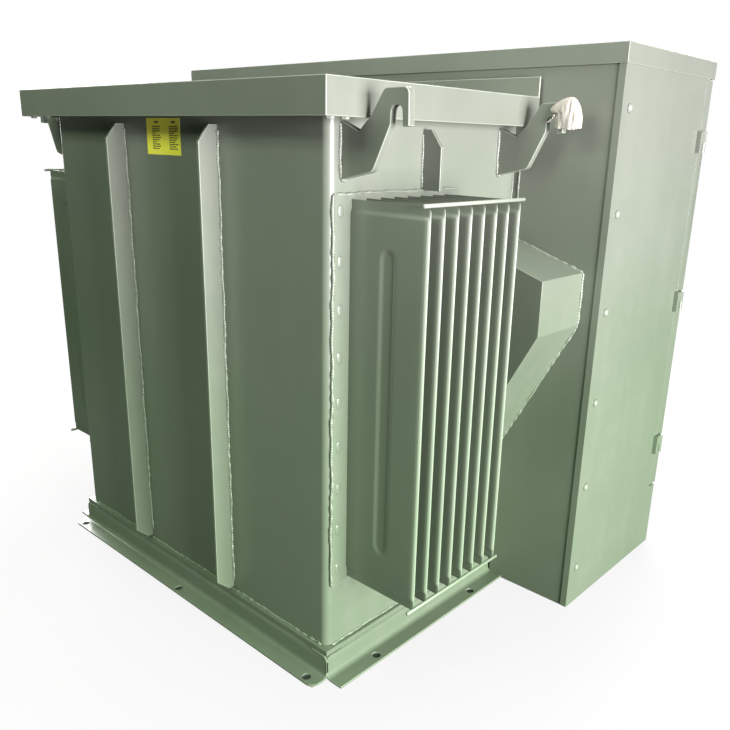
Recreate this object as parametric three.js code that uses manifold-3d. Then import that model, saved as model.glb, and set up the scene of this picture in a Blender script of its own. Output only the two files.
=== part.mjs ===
// A three-phase pad-mounted transformer, in millimetres, +Z up, doors towards -Y.
// The tank is built back from the plane y = 0, which is the back face of its front plate, and the cable
// cabinet is built forward from it. One outer group moves the whole object so that its origin is the
// bottom centre of its box. Left and right are as seen by someone who stands in front of the doors.
import * as THREE from "three";
import { mergeVertices } from "three/addons/utils/BufferGeometryUtils.js";
import Module from "manifold-3d";

const wasm = await Module();
wasm.setup();

// ---- Driving dimensions ------------------------------------------------------------------------
const gap = 0.3; // air between pieces that touch on the real object

// Tank
const tankWidth = 1270;
const tankDepth = 752;
const tankWall = 8;
const tankCorner = 22; // outer radius of the folded rear corners
const floorTop = 84;
const floorThickness = 15;
const floorLipBack = 12;
const floorLipSide = 15;
const frontPlateThickness = 10;
const frontPlateLip = 22; // how far the front plate stands out past the tank's sides

// Lid
const lidTop = 1530;
const lidSheet = 6;
const lidRimHeight = 80;
const lidOverhangBack = 80;
const lidOverhangSide = 75;
const lidFrontSpace = 9; // from the cabinet's back to the lid
const upstandHeight = 53;
const gasketThickness = 6;
const topFlangeThickness = 10;
const topFlangeOut = 56;
const topFlangeIn = 32;

// Ribs, hooks, side pocket and base rails
const ribThickness = 10;
const ribDepth = 59;
const ribTopSlope = 43;
const ribTopWidth = 26;
const ribFootSlope = 36;
const ribFootWidth = 18;
const backRibX = 225;
const ribTopDrop = 97; // from the lid's top to a rib's top
const ribFoot = 10; // from the floor plate to a back rib's lower end
const sideRibFromBack = 334;
const hookThickness = 19;
const rearHookFromBack = 46;
const frontHookY = 78;
const pocketDepth = 223;
const pocketSheet = 4;
const pocketReach = 258;
const railReachBack = 69;
const railReachSide = 73;
const railSheet = 6;
const footCorner = 28; // radius of the back foot's outer corners
const anchorHole = 22;
const anchorFromWall = 50;
const railHoleInset = 150;

// Radiators
const finPitch = 50;
const finThickness = 14;
const finReach = 240;
const finBottom = 281;
const finTop = 1273;
const radiatorFromBack = 72; // from the tank's back to the middle of the last fin
const radiatorFromPocket = 45;
const finTaper = 28;
const seamThickness = 3;
const headerSheet = 6;
const headerBorder = 51;
const headerEnd = 12;
const tieBar = 9;
const tieBarEnd = 12;

// Cabinet
const cabinetWing = 318; // how far the cabinet stands out past each side of the tank
const cabinetDepth = 606;
const cabinetSheet = 3;
const roofTop = 1660;
const roofRimHeight = 51;
const roofOverhang = 4;
const sillHeight = 232;
const sillSetback = 5;
const sillLedge = 42;
const sideWrap = 20;
const jambWidth = 30;
const headerHeight = 32;
const headerDepth = 62;

// Doors, hinges and latch
const doorBottomGap = 5;
const doorTopGap = 3;
const doorMiddleGap = 6;
const doorHingeReturn = 47;
const doorEdgeReturn = 22;
const hingeHeight = 65;
const hingeHeights = [401, 915, 1423];
const barrelRadius = 7;
const pinRadius = 3.6;
const pinClearance = 0.4;
const barrelStandOff = 9; // barrel axis out from the cabinet's side
const barrelSetBack = 31; // barrel axis back from the doors' face
const hingeLeaf = 3;
const hingeLeafLength = 22;
const handleX = 75;
const handleZ = 905;
const shaftRadius = 8;
const shaftClearance = 0.5;
const handleBossRadius = 24;
const handleBossLength = 12;
const leverLength = 150;
const leverWidth = 24;
const leverThickness = 11;
const rodRadius = 5;
const rodOffset = 18; // each rod's axis to the side of the shaft
const rodSetBack = 16; // rod axis back from the doors' face
const rodHoleClearance = 2;
const rodThrow = 25;

// Terminals and controls on the front plate
const hvBushingX = [-520, -370, -220];
const hvBushingZ = 1010;
const lvBushingX = [130, 270, 410, 550];
const lvBushingZ = [960, 900, 960, 900];
const shankRadius = 26;
const shankLength = 70;
const shankClearance = 1;
const spadeLength = 140;
const spadeHeight = 90;
const spadeThickness = 12;
const fuseX = [-330, -220, -110];
const fuseZ = 1270;
const fuseRadius = 20;
const fuseLength = 300;
const controlZ = 1270;
const switchX = -560;
const tapX = -430;
const gaugeX = 520;
const reliefX = 360;
const reliefZ = 1400;
const drainX = 580;
const drainZ = 190;
const spindleRadius = 9;
const spindleClearance = 0.5;

// Core and coils
const limbWidth = 150;
const limbPitch = 340;
const coreStack = 180;
const coreBottom = 110;
const coreHeight = 900;
const coilClearance = 8;
const coilWall = 75;

// ---- Worked-out places ---------------------------------------------------------------------------
const tankSide = tankWidth / 2;
const cabinetSide = tankSide + cabinetWing;
const lidBottom = lidTop - lidSheet;
const gasketTop = lidBottom - gap;
const gasketBottom = gasketTop - gasketThickness;
const topFlangeTop = gasketBottom - gap;
const topFlangeBottom = topFlangeTop - topFlangeThickness;
const wallTop = topFlangeBottom - gap;
const floorBottom = floorTop - floorThickness;
const railTop = floorBottom - gap;
const roofRimBottom = roofTop - roofRimHeight;
const panelTop = roofTop - cabinetSheet - gap;
const doorFront = -cabinetDepth;
const doorBack = doorFront + cabinetSheet;
const doorBottom = sillHeight + doorBottomGap;
const doorTop = roofRimBottom - doorTopGap;
const plateFront = -frontPlateThickness;
const rearHookY = tankDepth - rearHookFromBack;
const sideRibY = tankDepth - sideRibFromBack;
const lastFinY = tankDepth - radiatorFromBack;
const finRoom = lastFinY - pocketDepth - radiatorFromPocket - headerBorder - finThickness / 2;
const finCount = 1 + Math.floor(finRoom / finPitch);
const firstFinY = lastFinY - finPitch * (finCount - 1);

// ---- Solids ----------------------------------------------------------------------------------------
// A closed manifold solid from a geometry, once only its positions are left. They are put on a grid of a
// thousandth of a millimetre, so that faces meant to lie in one plane do, to the last digit.
const grid = 1000;
function solid(geometry) {
  const bare = geometry.clone();
  bare.deleteAttribute("normal");
  bare.deleteAttribute("uv");
  const at = bare.attributes.position;
  at.array.forEach((value, i) => (at.array[i] = Math.round(value * grid) / grid));
  const merged = mergeVertices(bare, 1e-4);
  return new wasm.Manifold(
    new wasm.Mesh({
      numProp: 3,
      vertProperties: new Float32Array(merged.attributes.position.array),
      triVerts: new Uint32Array(merged.index.array),
    }),
  );
}

function geometryOf(shape) {
  const mesh = shape.getMesh();
  const geometry = new THREE.BufferGeometry();
  geometry.setAttribute("position", new THREE.BufferAttribute(new Float32Array(mesh.vertProperties), 3));
  geometry.setIndex(new THREE.BufferAttribute(new Uint32Array(mesh.triVerts), 1));
  const flat = geometry.toNonIndexed();
  flat.computeVertexNormals();
  return flat;
}

const join = (first, ...others) => others.reduce((sum, other) => sum.add(other), first);
const cut = (first, ...others) => others.reduce((rest, other) => rest.subtract(other), first);

// A box from its low and high value along each axis, given in either order.
function box([x0, x1], [y0, y1], [z0, z1]) {
  const size = [Math.abs(x1 - x0), Math.abs(y1 - y0), Math.abs(z1 - z0)];
  return solid(new THREE.BoxGeometry(...size).translate((x0 + x1) / 2, (y0 + y1) / 2, (z0 + z1) / 2));
}

function shapeOf(points) {
  return new THREE.Shape(points.map(([a, b]) => new THREE.Vector2(a, b)));
}

const extrude = (shape, depth) =>
  new THREE.ExtrudeGeometry(shape, { depth, bevelEnabled: false, curveSegments: 6 });

// Outlines drawn in XY, XZ and YZ, made solid along the third axis.
const alongZ = (shape, z0, z1) => solid(extrude(shape, z1 - z0).translate(0, 0, z0));
const alongY = (shape, y0, y1) => solid(extrude(shape, y1 - y0).rotateX(Math.PI / 2).translate(0, y1, 0));
const yzPlane = new THREE.Matrix4().makeBasis(
  new THREE.Vector3(0, 1, 0),
  new THREE.Vector3(0, 0, 1),
  new THREE.Vector3(1, 0, 0),
);
const alongX = (shape, x0, x1) => solid(extrude(shape, x1 - x0).applyMatrix4(yzPlane).translate(x0, 0, 0));

// A turned solid round the Y axis through (x, z): its profile is [radius, y] points that go towards +Y.
function turnedY(profile, x, z, sides = 16) {
  const points = profile.map(([r, y]) => new THREE.Vector2(r, y));
  return solid(new THREE.LatheGeometry(points, sides).translate(x, 0, z));
}
const rodY = (radius, y0, y1, x, z, sides = 16) =>
  turnedY([[0, y0], [radius, y0], [radius, y1], [0, y1]], x, z, sides);
const rodZ = (radius, z0, z1, x, y, sides = 16) =>
  solid(new THREE.CylinderGeometry(radius, radius, z1 - z0, sides)
    .rotateX(Math.PI / 2)
    .translate(x, y, (z0 + z1) / 2));
const rodX = (radius, x0, x1, y, z, sides = 12) =>
  solid(new THREE.CylinderGeometry(radius, radius, x1 - x0, sides)
    .rotateZ(Math.PI / 2)
    .translate((x0 + x1) / 2, y, z));

// ---- Materials ---------------------------------------------------------------------------------------
const finish = (color, roughness, metalness) =>
  new THREE.MeshStandardMaterial({ color, roughness, metalness });
const greenPaint = finish(0x7e8c74, 0.38, 0.1);
const blackRubber = finish(0x1d1f1e, 0.8, 0);
const zincSteel = finish(0xa9adab, 0.4, 0.9);
const tinnedCopper = finish(0xb9b3a6, 0.35, 1);
const brassMetal = finish(0xb08d4c, 0.35, 1);
const greyEpoxy = finish(0x6d7377, 0.45, 0);
const siliconSteel = finish(0x5b5f63, 0.5, 0.8);
const coilPaper = finish(0xb58b58, 0.8, 0);
const packingCloth = finish(0xe9e6da, 0.9, 0);
const dialWhite = finish(0xe6e6e0, 0.4, 0);

const model = new THREE.Group();
model.position.y = (cabinetDepth + handleBossLength + leverThickness - tankDepth - lidOverhangBack) / 2;
function addPart(name, shape, material) {
  const mesh = new THREE.Mesh(geometryOf(shape), material);
  mesh.name = name;
  model.add(mesh);
}
const sides = [
  ["left", -1],
  ["right", 1],
];

// ---- Tank --------------------------------------------------------------------------------------------
// Half a rounded rectangle: open towards y0, with its two far corners folded to the given radius.
function panOutline(half, y0, y1, radius) {
  const outline = new THREE.Shape();
  outline.moveTo(-half, y0);
  outline.lineTo(half, y0);
  outline.lineTo(half, y1 - radius);
  outline.absarc(half - radius, y1 - radius, radius, 0, Math.PI / 2);
  outline.lineTo(-half + radius, y1);
  outline.absarc(-half + radius, y1 - radius, radius, Math.PI / 2, Math.PI);
  outline.lineTo(-half, y0);
  return outline;
}

// The side pocket's outline: reach out from the wall, and height.
const pocketOutline = [
  [0, 1144],
  [pocketReach, 1062],
  [pocketReach, 911],
  [0, 431],
];
const pocketWindow = { y: [30, 190], z: [560, 1080] };

function tankWalls() {
  const outer = alongZ(panOutline(tankSide, gap, tankDepth, tankCorner), floorTop + gap, wallTop);
  const inner = alongZ(
    panOutline(tankSide - tankWall, gap - 1, tankDepth - tankWall, tankCorner - tankWall),
    floorTop,
    wallTop + 1,
  );
  const window = box([-tankSide - 1, -tankSide + tankWall + 1], pocketWindow.y, pocketWindow.z);
  return cut(outer, inner, window);
}
addPart("tank_walls", tankWalls(), greenPaint);

addPart(
  "tank_floor",
  box(
    [-tankSide - floorLipSide, tankSide + floorLipSide],
    [plateFront, tankDepth + floorLipBack],
    [floorBottom, floorTop],
  ),
  greenPaint,
);

function tankFrontPlate() {
  const plate = box(
    [-tankSide - frontPlateLip, tankSide + frontPlateLip],
    [plateFront, 0],
    [floorTop + gap, wallTop],
  );
  const hole = (radius, x, z) => rodY(radius, plateFront - 1, 1, x, z);
  const shank = shankRadius + shankClearance;
  return cut(
    plate,
    ...hvBushingX.map((x) => hole(shank, x, hvBushingZ)),
    ...lvBushingX.map((x, i) => hole(shank, x, lvBushingZ[i])),
    ...fuseX.map((x) => hole(fuseRadius + spindleClearance, x, fuseZ)),
    hole(spindleRadius + spindleClearance, switchX, controlZ),
    hole(spindleRadius + spindleClearance, tapX, controlZ),
  );
}
addPart("tank_front_plate", tankFrontPlate(), greenPaint);

// A flat frame round the tank's mouth: out past the walls, in past them, from the front to the back.
function mouthFrame(out, inward, z0, z1) {
  const outer = box([-tankSide - out, tankSide + out], [lidFrontSpace, tankDepth + out], [z0, z1]);
  const inner = box(
    [-tankSide + inward, tankSide - inward],
    [lidFrontSpace + inward, tankDepth - inward],
    [z0 - 1, z1 + 1],
  );
  return cut(outer, inner);
}
addPart("tank_top_flange", mouthFrame(topFlangeOut, topFlangeIn, topFlangeBottom, topFlangeTop), greenPaint);
addPart("lid_gasket", mouthFrame(topFlangeOut - 12, topFlangeIn - 12, gasketBottom, gasketTop), blackRubber);

function tankLid() {
  const sideEdge = tankSide + lidOverhangSide;
  const backEdge = tankDepth + lidOverhangBack;
  const rimBottom = lidTop - lidRimHeight;
  const outer = box([-sideEdge, sideEdge], [lidFrontSpace, backEdge], [rimBottom, lidTop]);
  const hollow = box(
    [-sideEdge + lidSheet, sideEdge - lidSheet],
    [lidFrontSpace - 1, backEdge - lidSheet],
    [rimBottom - 1, lidBottom],
  );
  const upstand = box(
    [-sideEdge, sideEdge],
    [lidFrontSpace, lidFrontSpace + lidSheet],
    [lidBottom, lidTop + upstandHeight],
  );
  return join(cut(outer, hollow), upstand);
}
addPart("tank_lid", tankLid(), greenPaint);

// ---- Ribs on the tank walls ----------------------------------------------------------------------------
// A rib's outline from the wall out: chamfered at the top, and at the bottom where it has a foot.
function ribOutline(bottom, top, lowerChamfer) {
  return [
    [gap, bottom],
    [lowerChamfer ? ribFootWidth : ribDepth, bottom],
    [ribDepth, bottom + lowerChamfer],
    [ribDepth, top - ribTopSlope],
    [ribTopWidth, top],
    [gap, top],
  ].filter(([u, z], i, all) => i === 0 || u !== all[i - 1][0] || z !== all[i - 1][1]);
}
const ribTop = lidTop - ribTopDrop;
for (const [side, sign] of sides) {
  const outline = ribOutline(floorTop + ribFoot, ribTop, ribFootSlope).map(([u, z]) => [tankDepth + u, z]);
  const x = sign * backRibX;
  addPart(
    `back_rib_${side}`,
    alongX(shapeOf(outline), x - ribThickness / 2, x + ribThickness / 2),
    greenPaint,
  );
}
const headerTop = finTop + headerEnd;
for (const [side, sign] of sides) {
  const outline = ribOutline(headerTop + gap, ribTop, 0).map(([u, z]) => [sign * (tankSide + u), z]);
  addPart(
    `side_rib_${side}`,
    alongY(shapeOf(outline), sideRibY - ribThickness / 2, sideRibY + ribThickness / 2),
    greenPaint,
  );
}

// ---- Side pocket -----------------------------------------------------------------------------------------
function sidePocket() {
  const onWall = (points) => points.map(([u, z]) => [-tankSide - gap - u, z]);
  const t = pocketSheet;
  const inside = [
    [-1, pocketOutline[0][1] - 1.1 * t],
    [pocketReach - t, pocketOutline[1][1] - 1.1 * t],
    [pocketReach - t, pocketOutline[2][1] + 1.2 * t],
    [-1, pocketOutline[3][1] + 2.3 * t],
  ];
  const outer = alongY(shapeOf(onWall(pocketOutline)), gap, pocketDepth);
  return cut(outer, alongY(shapeOf(onWall(inside)), gap + t, pocketDepth - t));
}
addPart("side_pocket", sidePocket(), greenPaint);

// ---- Lifting hooks -----------------------------------------------------------------------------------------
// The hook's outline, out from the wall and down from the lid's top: a plate that runs up and out past the
// lid's rim and ends in a nose that hangs down, with a round-topped throat between. Its notch clears the rim.
const throatInner = lidOverhangSide + 74;
const throatOuter = lidOverhangSide + 105;
const throatTop = 54;
const throatSpring = 72;
const hookNotch = lidRimHeight + 27;
function hookShape(sign) {
  const at = (u, drop) => [sign * (tankSide + u), lidTop - drop];
  const rim = lidOverhangSide;
  const shape = new THREE.Shape();
  shape.moveTo(...at(gap, hookNotch + 107));
  shape.lineTo(...at(rim + 15, hookNotch + 87));
  shape.quadraticCurveTo(...at(rim + 25, hookNotch + 84), ...at(rim + 30, hookNotch + 73));
  shape.lineTo(...at(throatInner - 1, throatSpring + 22));
  shape.lineTo(...at(throatInner, throatSpring));
  const crown = at((throatInner + throatOuter) / 2, throatTop);
  shape.quadraticCurveTo(...at(throatInner, throatTop), ...crown);
  shape.quadraticCurveTo(...at(throatOuter, throatTop), ...at(throatOuter, throatSpring));
  shape.lineTo(...at(throatOuter + 2, throatSpring + 26));
  shape.lineTo(...at(throatOuter + 19, throatSpring + 24));
  shape.lineTo(...at(throatOuter + 17, 34));
  shape.quadraticCurveTo(...at(throatOuter + 16, 20), ...at(throatOuter + 2, 19));
  shape.lineTo(...at(rim + 63, 20));
  shape.quadraticCurveTo(...at(rim + 53, 20), ...at(rim + 47, 30));
  shape.lineTo(...at(rim + 17, hookNotch - 32));
  shape.lineTo(...at(rim - 19, hookNotch));
  shape.lineTo(...at(gap, hookNotch - 22));
  shape.closePath();
  return shape;
}
function hook(sign, y, grow = 0) {
  return alongY(hookShape(sign), y - hookThickness / 2 - grow, y + hookThickness / 2 + grow);
}
for (const [side, sign] of sides) {
  addPart(`rear_hook_${side}`, hook(sign, rearHookY), greenPaint);
  addPart(`front_hook_${side}`, hook(sign, frontHookY), greenPaint);
}

// The packing sleeve that is tied over the nose of the front left hook.
function hookSleeve() {
  const x = -tankSide - throatOuter - 16;
  const z = lidTop - 46;
  const wrap = solid(new THREE.SphereGeometry(1, 12, 8).scale(49, 33, 42).translate(x, frontHookY, z));
  const blank = hook(-1, frontHookY, 1);
  const clear = [
    [1, 0],
    [-1, 0],
    [0, 1],
    [0, -1],
  ].map(([dx, dz]) => blank.translate([dx, 0, dz]));
  return cut(wrap, blank, ...clear);
}
addPart("hook_sleeve", hookSleeve(), packingCloth);

// ---- Base rails ------------------------------------------------------------------------------------------------
// A folded rail: a ledge under the floor plate, an upright web and a foot that is bolted to the pad.
const webBack = tankDepth + floorLipBack + railSheet / 2;
const webSide = tankSide + floorLipSide + railSheet / 2;
const ledge = 60;
function anchorHoles(places) {
  return places.map(([x, y]) => rodZ(anchorHole / 2, -1, railSheet + 1, x, y, 16));
}
function backRail() {
  const inner = webSide - railSheet - gap;
  const profile = shapeOf([
    [webBack - railSheet, 0],
    [webBack + 1, 0],
    [webBack + 1, railSheet],
    [webBack, railSheet],
    [webBack, railTop],
    [webBack - ledge, railTop],
    [webBack - ledge, railTop - railSheet],
    [webBack - railSheet, railTop - railSheet],
  ]);
  const edge = tankDepth + railReachBack;
  const foot = alongZ(panOutline(webSide, webBack + gap, edge, footCorner), 0, railSheet);
  const holes = [-tankSide + 25, 0, tankSide - 25].map((x) => [x, tankDepth + anchorFromWall]);
  return cut(join(alongX(profile, -inner, inner), foot), ...anchorHoles(holes));
}
addPart("base_rail_back", backRail(), greenPaint);
for (const [side, sign] of sides) {
  const profile = shapeOf(
    [
      [webSide - railSheet, 0],
      [tankSide + railReachSide, 0],
      [tankSide + railReachSide, railSheet],
      [webSide, railSheet],
      [webSide, railTop],
      [webSide - ledge, railTop],
      [webSide - ledge, railTop - railSheet],
      [webSide - railSheet, railTop - railSheet],
    ].map(([u, z]) => [sign * u, z]),
  );
  const rail = alongY(profile, gap, webBack);
  const corner = box(
    [sign * (webSide - railSheet - gap), sign * (webSide - ledge - 1)],
    [webBack - ledge - gap, webBack + 1],
    [railTop - railSheet - 1, railTop + 1],
  );
  const holes = [railHoleInset, tankDepth - railHoleInset].map((y) => [sign * (tankSide + anchorFromWall), y]);
  addPart(`base_rail_${side}`, cut(rail, corner, ...anchorHoles(holes)), greenPaint);
}

// ---- Radiators ---------------------------------------------------------------------------------------------------
// Pressed hollow fins, flattened to a seam at both ends, welded to a header sheet and tied across their tips.
function radiator(sign) {
  const t = finThickness / 2;
  const s = seamThickness / 2;
  const wall = tankSide + gap;
  const tip = tankSide + finReach;
  const across = (u0, u1) => [sign * u0, sign * u1].sort((a, b) => a - b);
  const fins = Array.from({ length: finCount }, (_, i) => {
    const y = firstFinY + finPitch * i;
    const outline = [
      [y - s, finBottom],
      [y + s, finBottom],
      [y + t, finBottom + finTaper],
      [y + t, finTop - finTaper],
      [y + s, finTop],
      [y - s, finTop],
      [y - t, finTop - finTaper],
      [y - t, finBottom + finTaper],
    ];
    return alongX(shapeOf(outline), ...across(wall + headerSheet / 2, tip));
  });
  const header = box(
    across(wall, wall + headerSheet),
    [firstFinY - t - headerBorder, lastFinY + t + headerBorder],
    [finBottom - headerEnd, headerTop],
  );
  const bars = [finBottom + 1, finTop - tieBar - 1].map((z) =>
    box(across(tip - tieBar, tip + 1), [firstFinY - t - tieBarEnd, lastFinY + t + tieBarEnd], [z, z + tieBar]),
  );
  return join(header, ...fins, ...bars);
}
for (const [side, sign] of sides) addPart(`radiator_${side}`, radiator(sign), greenPaint);

// ---- Cabinet -------------------------------------------------------------------------------------------------------
function cabinetBack() {
  const half = cabinetSide - cabinetSheet - gap;
  const opening = tankSide + frontPlateLip + gap;
  const panel = box([-half, half], [-cabinetSheet, 0], [0, panelTop]);
  return cut(panel, box([-opening, opening], [-cabinetSheet - 1, 1], [-1, wallTop + gap]));
}
addPart("cabinet_back", cabinetBack(), greenPaint);

const jambY = doorFront + doorHingeReturn + 1;
for (const [side, sign] of sides) {
  const outer = sign * cabinetSide;
  const inner = sign * (cabinetSide - cabinetSheet);
  const wrapY = gap + cabinetSheet;
  const outline = shapeOf([
    [wrapY, 0],
    [wrapY, panelTop],
    [jambY, panelTop],
    [jambY, sillHeight],
    [doorFront + sillSetback, sillHeight],
    [doorFront + sillSetback, 0],
  ]);
  const panel = alongX(outline, Math.min(outer, inner), Math.max(outer, inner));
  const wrap = box([outer, sign * (cabinetSide - sideWrap)], [gap, wrapY], [0, panelTop]);
  const jamb = box(
    [inner, sign * (cabinetSide - jambWidth)],
    [jambY, jambY + cabinetSheet],
    [sillHeight + gap, roofRimBottom],
  );
  addPart(`cabinet_side_${side}`, join(panel, wrap, jamb), greenPaint);
}

function cabinetRoof() {
  const half = cabinetSide + roofOverhang;
  const front = doorFront - roofOverhang;
  const t = cabinetSheet;
  const outer = box([-half, half], [front, gap + t + roofOverhang], [roofRimBottom, roofTop]);
  const hollow = box([-half + t, half - t], [front + t, gap + roofOverhang], [roofRimBottom - 1, roofTop - t]);
  return cut(outer, hollow);
}
addPart("cabinet_roof", cabinetRoof(), greenPaint);

const rodY0 = doorFront + rodSetBack;
const rodPlaces = { upper: handleX - rodOffset, lower: handleX + rodOffset };
const rodHole = (x, z0, z1) => rodZ(rodRadius + rodHoleClearance, z0, z1, x, rodY0, 16);

// A channel between the sides, over the doors, whose floor has the catch hole of the upper latch rod.
function doorHeader() {
  const half = cabinetSide - cabinetSheet - gap;
  const front = doorFront + 2;
  const z0 = roofRimBottom + 1;
  const outer = box([-half, half], [front, front + headerDepth], [z0, z0 + headerHeight]);
  const t = cabinetSheet;
  const hollow = box([-half - 1, half + 1], [front + t, front + headerDepth - t], [z0 + t, z0 + headerHeight + 1]);
  return cut(outer, hollow, rodHole(rodPlaces.upper, z0 - 1, z0 + t + 1));
}
addPart("door_header", doorHeader(), greenPaint);

// The sill closes the cabinet below the doors. Its top ledge has the catch hole of the lower latch rod.
function frontSill() {
  const half = cabinetSide - cabinetSheet - gap;
  const front = doorFront + sillSetback;
  const t = cabinetSheet;
  const face = box([-half, half], [front, front + t], [0, sillHeight]);
  const top = box([-half, half], [front, front + sillLedge], [sillHeight - t, sillHeight]);
  return cut(join(face, top), rodHole(rodPlaces.lower, sillHeight - t - 1, sillHeight + 1));
}
addPart("front_sill", frontSill(), greenPaint);

addPart(
  "centre_barrier",
  box(
    [-cabinetSheet / 2, cabinetSheet / 2],
    [doorFront + headerDepth + 4, plateFront - gap],
    [floorTop + 20, roofRimBottom - 4],
  ),
  greenPaint,
);

// ---- Doors and hinges ------------------------------------------------------------------------------------------------
const hingeAxisX = cabinetSide + barrelStandOff;
const hingeAxisY = doorFront + barrelSetBack;
const lowerLeafClearance = 2;
function barrel(sign, z0, z1) {
  return rodZ(barrelRadius, z0, z1, sign * hingeAxisX, hingeAxisY, 16);
}
for (const [side, sign] of sides)
  hingeHeights.forEach((z, i) => {
    const top = z + hingeHeight / 2;
    const half = [z + gap, top];
    const face = cabinetSide + gap;
    const leaf = box(
      [sign * face, sign * (hingeAxisX + barrelRadius - 2)],
      [hingeAxisY, jambY + hingeLeafLength],
      half,
    );
    const relief = box([sign * (face - 1), sign * (face + 1)], [hingeAxisY - 20, jambY - 1], [half[0] - 1, top + 1]);
    // Below the middle the leaf stops short of the door's own barrel and jamb.
    const lowerLeaf = box(
      [sign * face, sign * (hingeAxisX + barrelRadius - 2)],
      [jambY + lowerLeafClearance, jambY + hingeLeafLength],
      [z - hingeHeight / 2, half[0] + 1],
    );
    const pin = rodZ(pinRadius, z - hingeHeight / 2, top, sign * hingeAxisX, hingeAxisY, 12);
    addPart(`hinge_${side}_${i + 1}`, join(cut(leaf, relief), lowerLeaf, barrel(sign, ...half), pin), greenPaint);
  });

// A pan of sheet: a face with a deep return on the hinge side and shallow returns on the other edges, with
// the lower half of each hinge welded to the deep return.
function door(sign) {
  const t = cabinetSheet;
  const hingeEdge = cabinetSide;
  const middle = doorMiddleGap / 2;
  const x = (u0, u1) => [sign * u0, sign * u1];
  const z = [doorBottom, doorTop];
  let pan = join(
    box(x(middle, hingeEdge), [doorFront, doorBack], z),
    box(x(hingeEdge - t, hingeEdge), [doorFront, doorFront + doorHingeReturn], z),
    box(x(middle, middle + t), [doorFront, doorFront + doorEdgeReturn], z),
    box(x(middle, hingeEdge), [doorFront, doorFront + doorEdgeReturn], [doorTop - t, doorTop]),
    box(x(middle, hingeEdge), [doorFront, doorFront + doorEdgeReturn], [doorBottom, doorBottom + t]),
  );
  for (const height of hingeHeights) {
    const half = [height - hingeHeight / 2, height - gap];
    const leaf = box(x(hingeEdge - 1, hingeEdge + hingeLeaf), [doorFront + 4, hingeAxisY], half);
    const web = box(
      x(hingeEdge, hingeAxisX),
      [hingeAxisY - barrelRadius + 1, hingeAxisY],
      half,
    );
    const bore = rodZ(
      pinRadius + pinClearance,
      half[0] - 1,
      half[1] + 1,
      sign * hingeAxisX,
      hingeAxisY,
      12,
    );
    pan = cut(join(pan, leaf, web, barrel(sign, ...half)), bore);
  }
  return pan;
}
addPart("door_left", door(-1), greenPaint);

// The right door carries the latch: a shaft hole, guide holes for the rods and a staple for a padlock.
function latchDoor() {
  const shaftHole = rodY(shaftRadius + shaftClearance, doorFront - 1, doorBack + 1, handleX, handleZ);
  const staple = box(
    [handleX - leverWidth / 2 - 8, handleX - leverWidth / 2 - 3],
    [doorFront - handleBossLength - leverThickness + 2, doorFront + 1],
    [handleZ - leverLength + 20, handleZ - leverLength + 50],
  );
  return cut(
    join(door(1), staple),
    shaftHole,
    rodHole(rodPlaces.upper, doorTop - cabinetSheet - 1, doorTop + 1),
    rodHole(rodPlaces.lower, doorBottom - 1, doorBottom + cabinetSheet + 1),
  );
}
addPart("door_right", latchDoor(), greenPaint);

// The handle, its shaft and the cam plate behind the door turn as one. The lever lies level when the latch
// is drawn and hangs down when it is thrown.
function doorHandle() {
  const bossFront = doorFront - handleBossLength;
  const lever = shapeOf([
    [handleX - 20, handleZ - leverWidth / 2],
    [handleX + leverLength, handleZ - leverWidth / 2 + 4],
    [handleX + leverLength + 6, handleZ],
    [handleX + leverLength, handleZ + leverWidth / 2 - 4],
    [handleX - 20, handleZ + leverWidth / 2],
  ]);
  const camFront = doorBack + 1;
  return join(
    rodY(handleBossRadius, bossFront, doorFront - gap, handleX, handleZ),
    alongY(lever, bossFront - leverThickness, bossFront + 1),
    rodY(shaftRadius, bossFront, camFront + 3, handleX, handleZ),
    rodY(rodOffset + 6, camFront, camFront + 4, handleX, handleZ),
  );
}
addPart("door_handle", doorHandle(), zincSteel);
addPart(
  "latch_rod_upper",
  rodZ(rodRadius, handleZ + 8, doorTop - 1, rodPlaces.upper, rodY0, 12),
  zincSteel,
);
addPart(
  "latch_rod_lower",
  rodZ(rodRadius, doorBottom + 1, handleZ - 8, rodPlaces.lower, rodY0, 12),
  zincSteel,
);

// ---- Terminals ---------------------------------------------------------------------------------------------------------
// Each bushing has a flange on the front plate, a shank through it and a body that stands out of it.
hvBushingX.forEach((x, i) => {
  const face = plateFront - gap;
  const profile = [
    [0, face - 108],
    [22, face - 108],
    [25, face - 100],
    [33, face - 40],
    [38, face - 36],
    [38, face - 14],
    [56, face - 12],
    [56, face],
    [shankRadius, face],
    [shankRadius, shankLength],
    [0, shankLength],
  ];
  addPart(`hv_bushing_${i + 1}`, turnedY(profile, x, hvBushingZ), greyEpoxy);
});
lvBushingX.forEach((x, i) => {
  const face = plateFront - gap;
  const z = lvBushingZ[i];
  const neck = face - 62;
  const profile = [
    [0, neck],
    [26, neck],
    [28, face - 50],
    [36, face - 44],
    [36, face - 12],
    [50, face - 10],
    [50, face],
    [shankRadius, face],
    [shankRadius, shankLength],
    [0, shankLength],
  ];
  const spade = box(
    [x - spadeThickness / 2, x + spadeThickness / 2],
    [neck - spadeLength, neck + 2],
    [z - spadeHeight / 2, z + spadeHeight / 2],
  );
  const holes = [30, 74, 118].flatMap((d) =>
    [-22, 22].map((dz) => rodX(7, x - spadeThickness, x + spadeThickness, neck - spadeLength + d, z + dz, 8)),
  );
  addPart(`lv_bushing_${i}`, cut(join(turnedY(profile, x, z), spade), ...holes), tinnedCopper);
});

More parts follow.
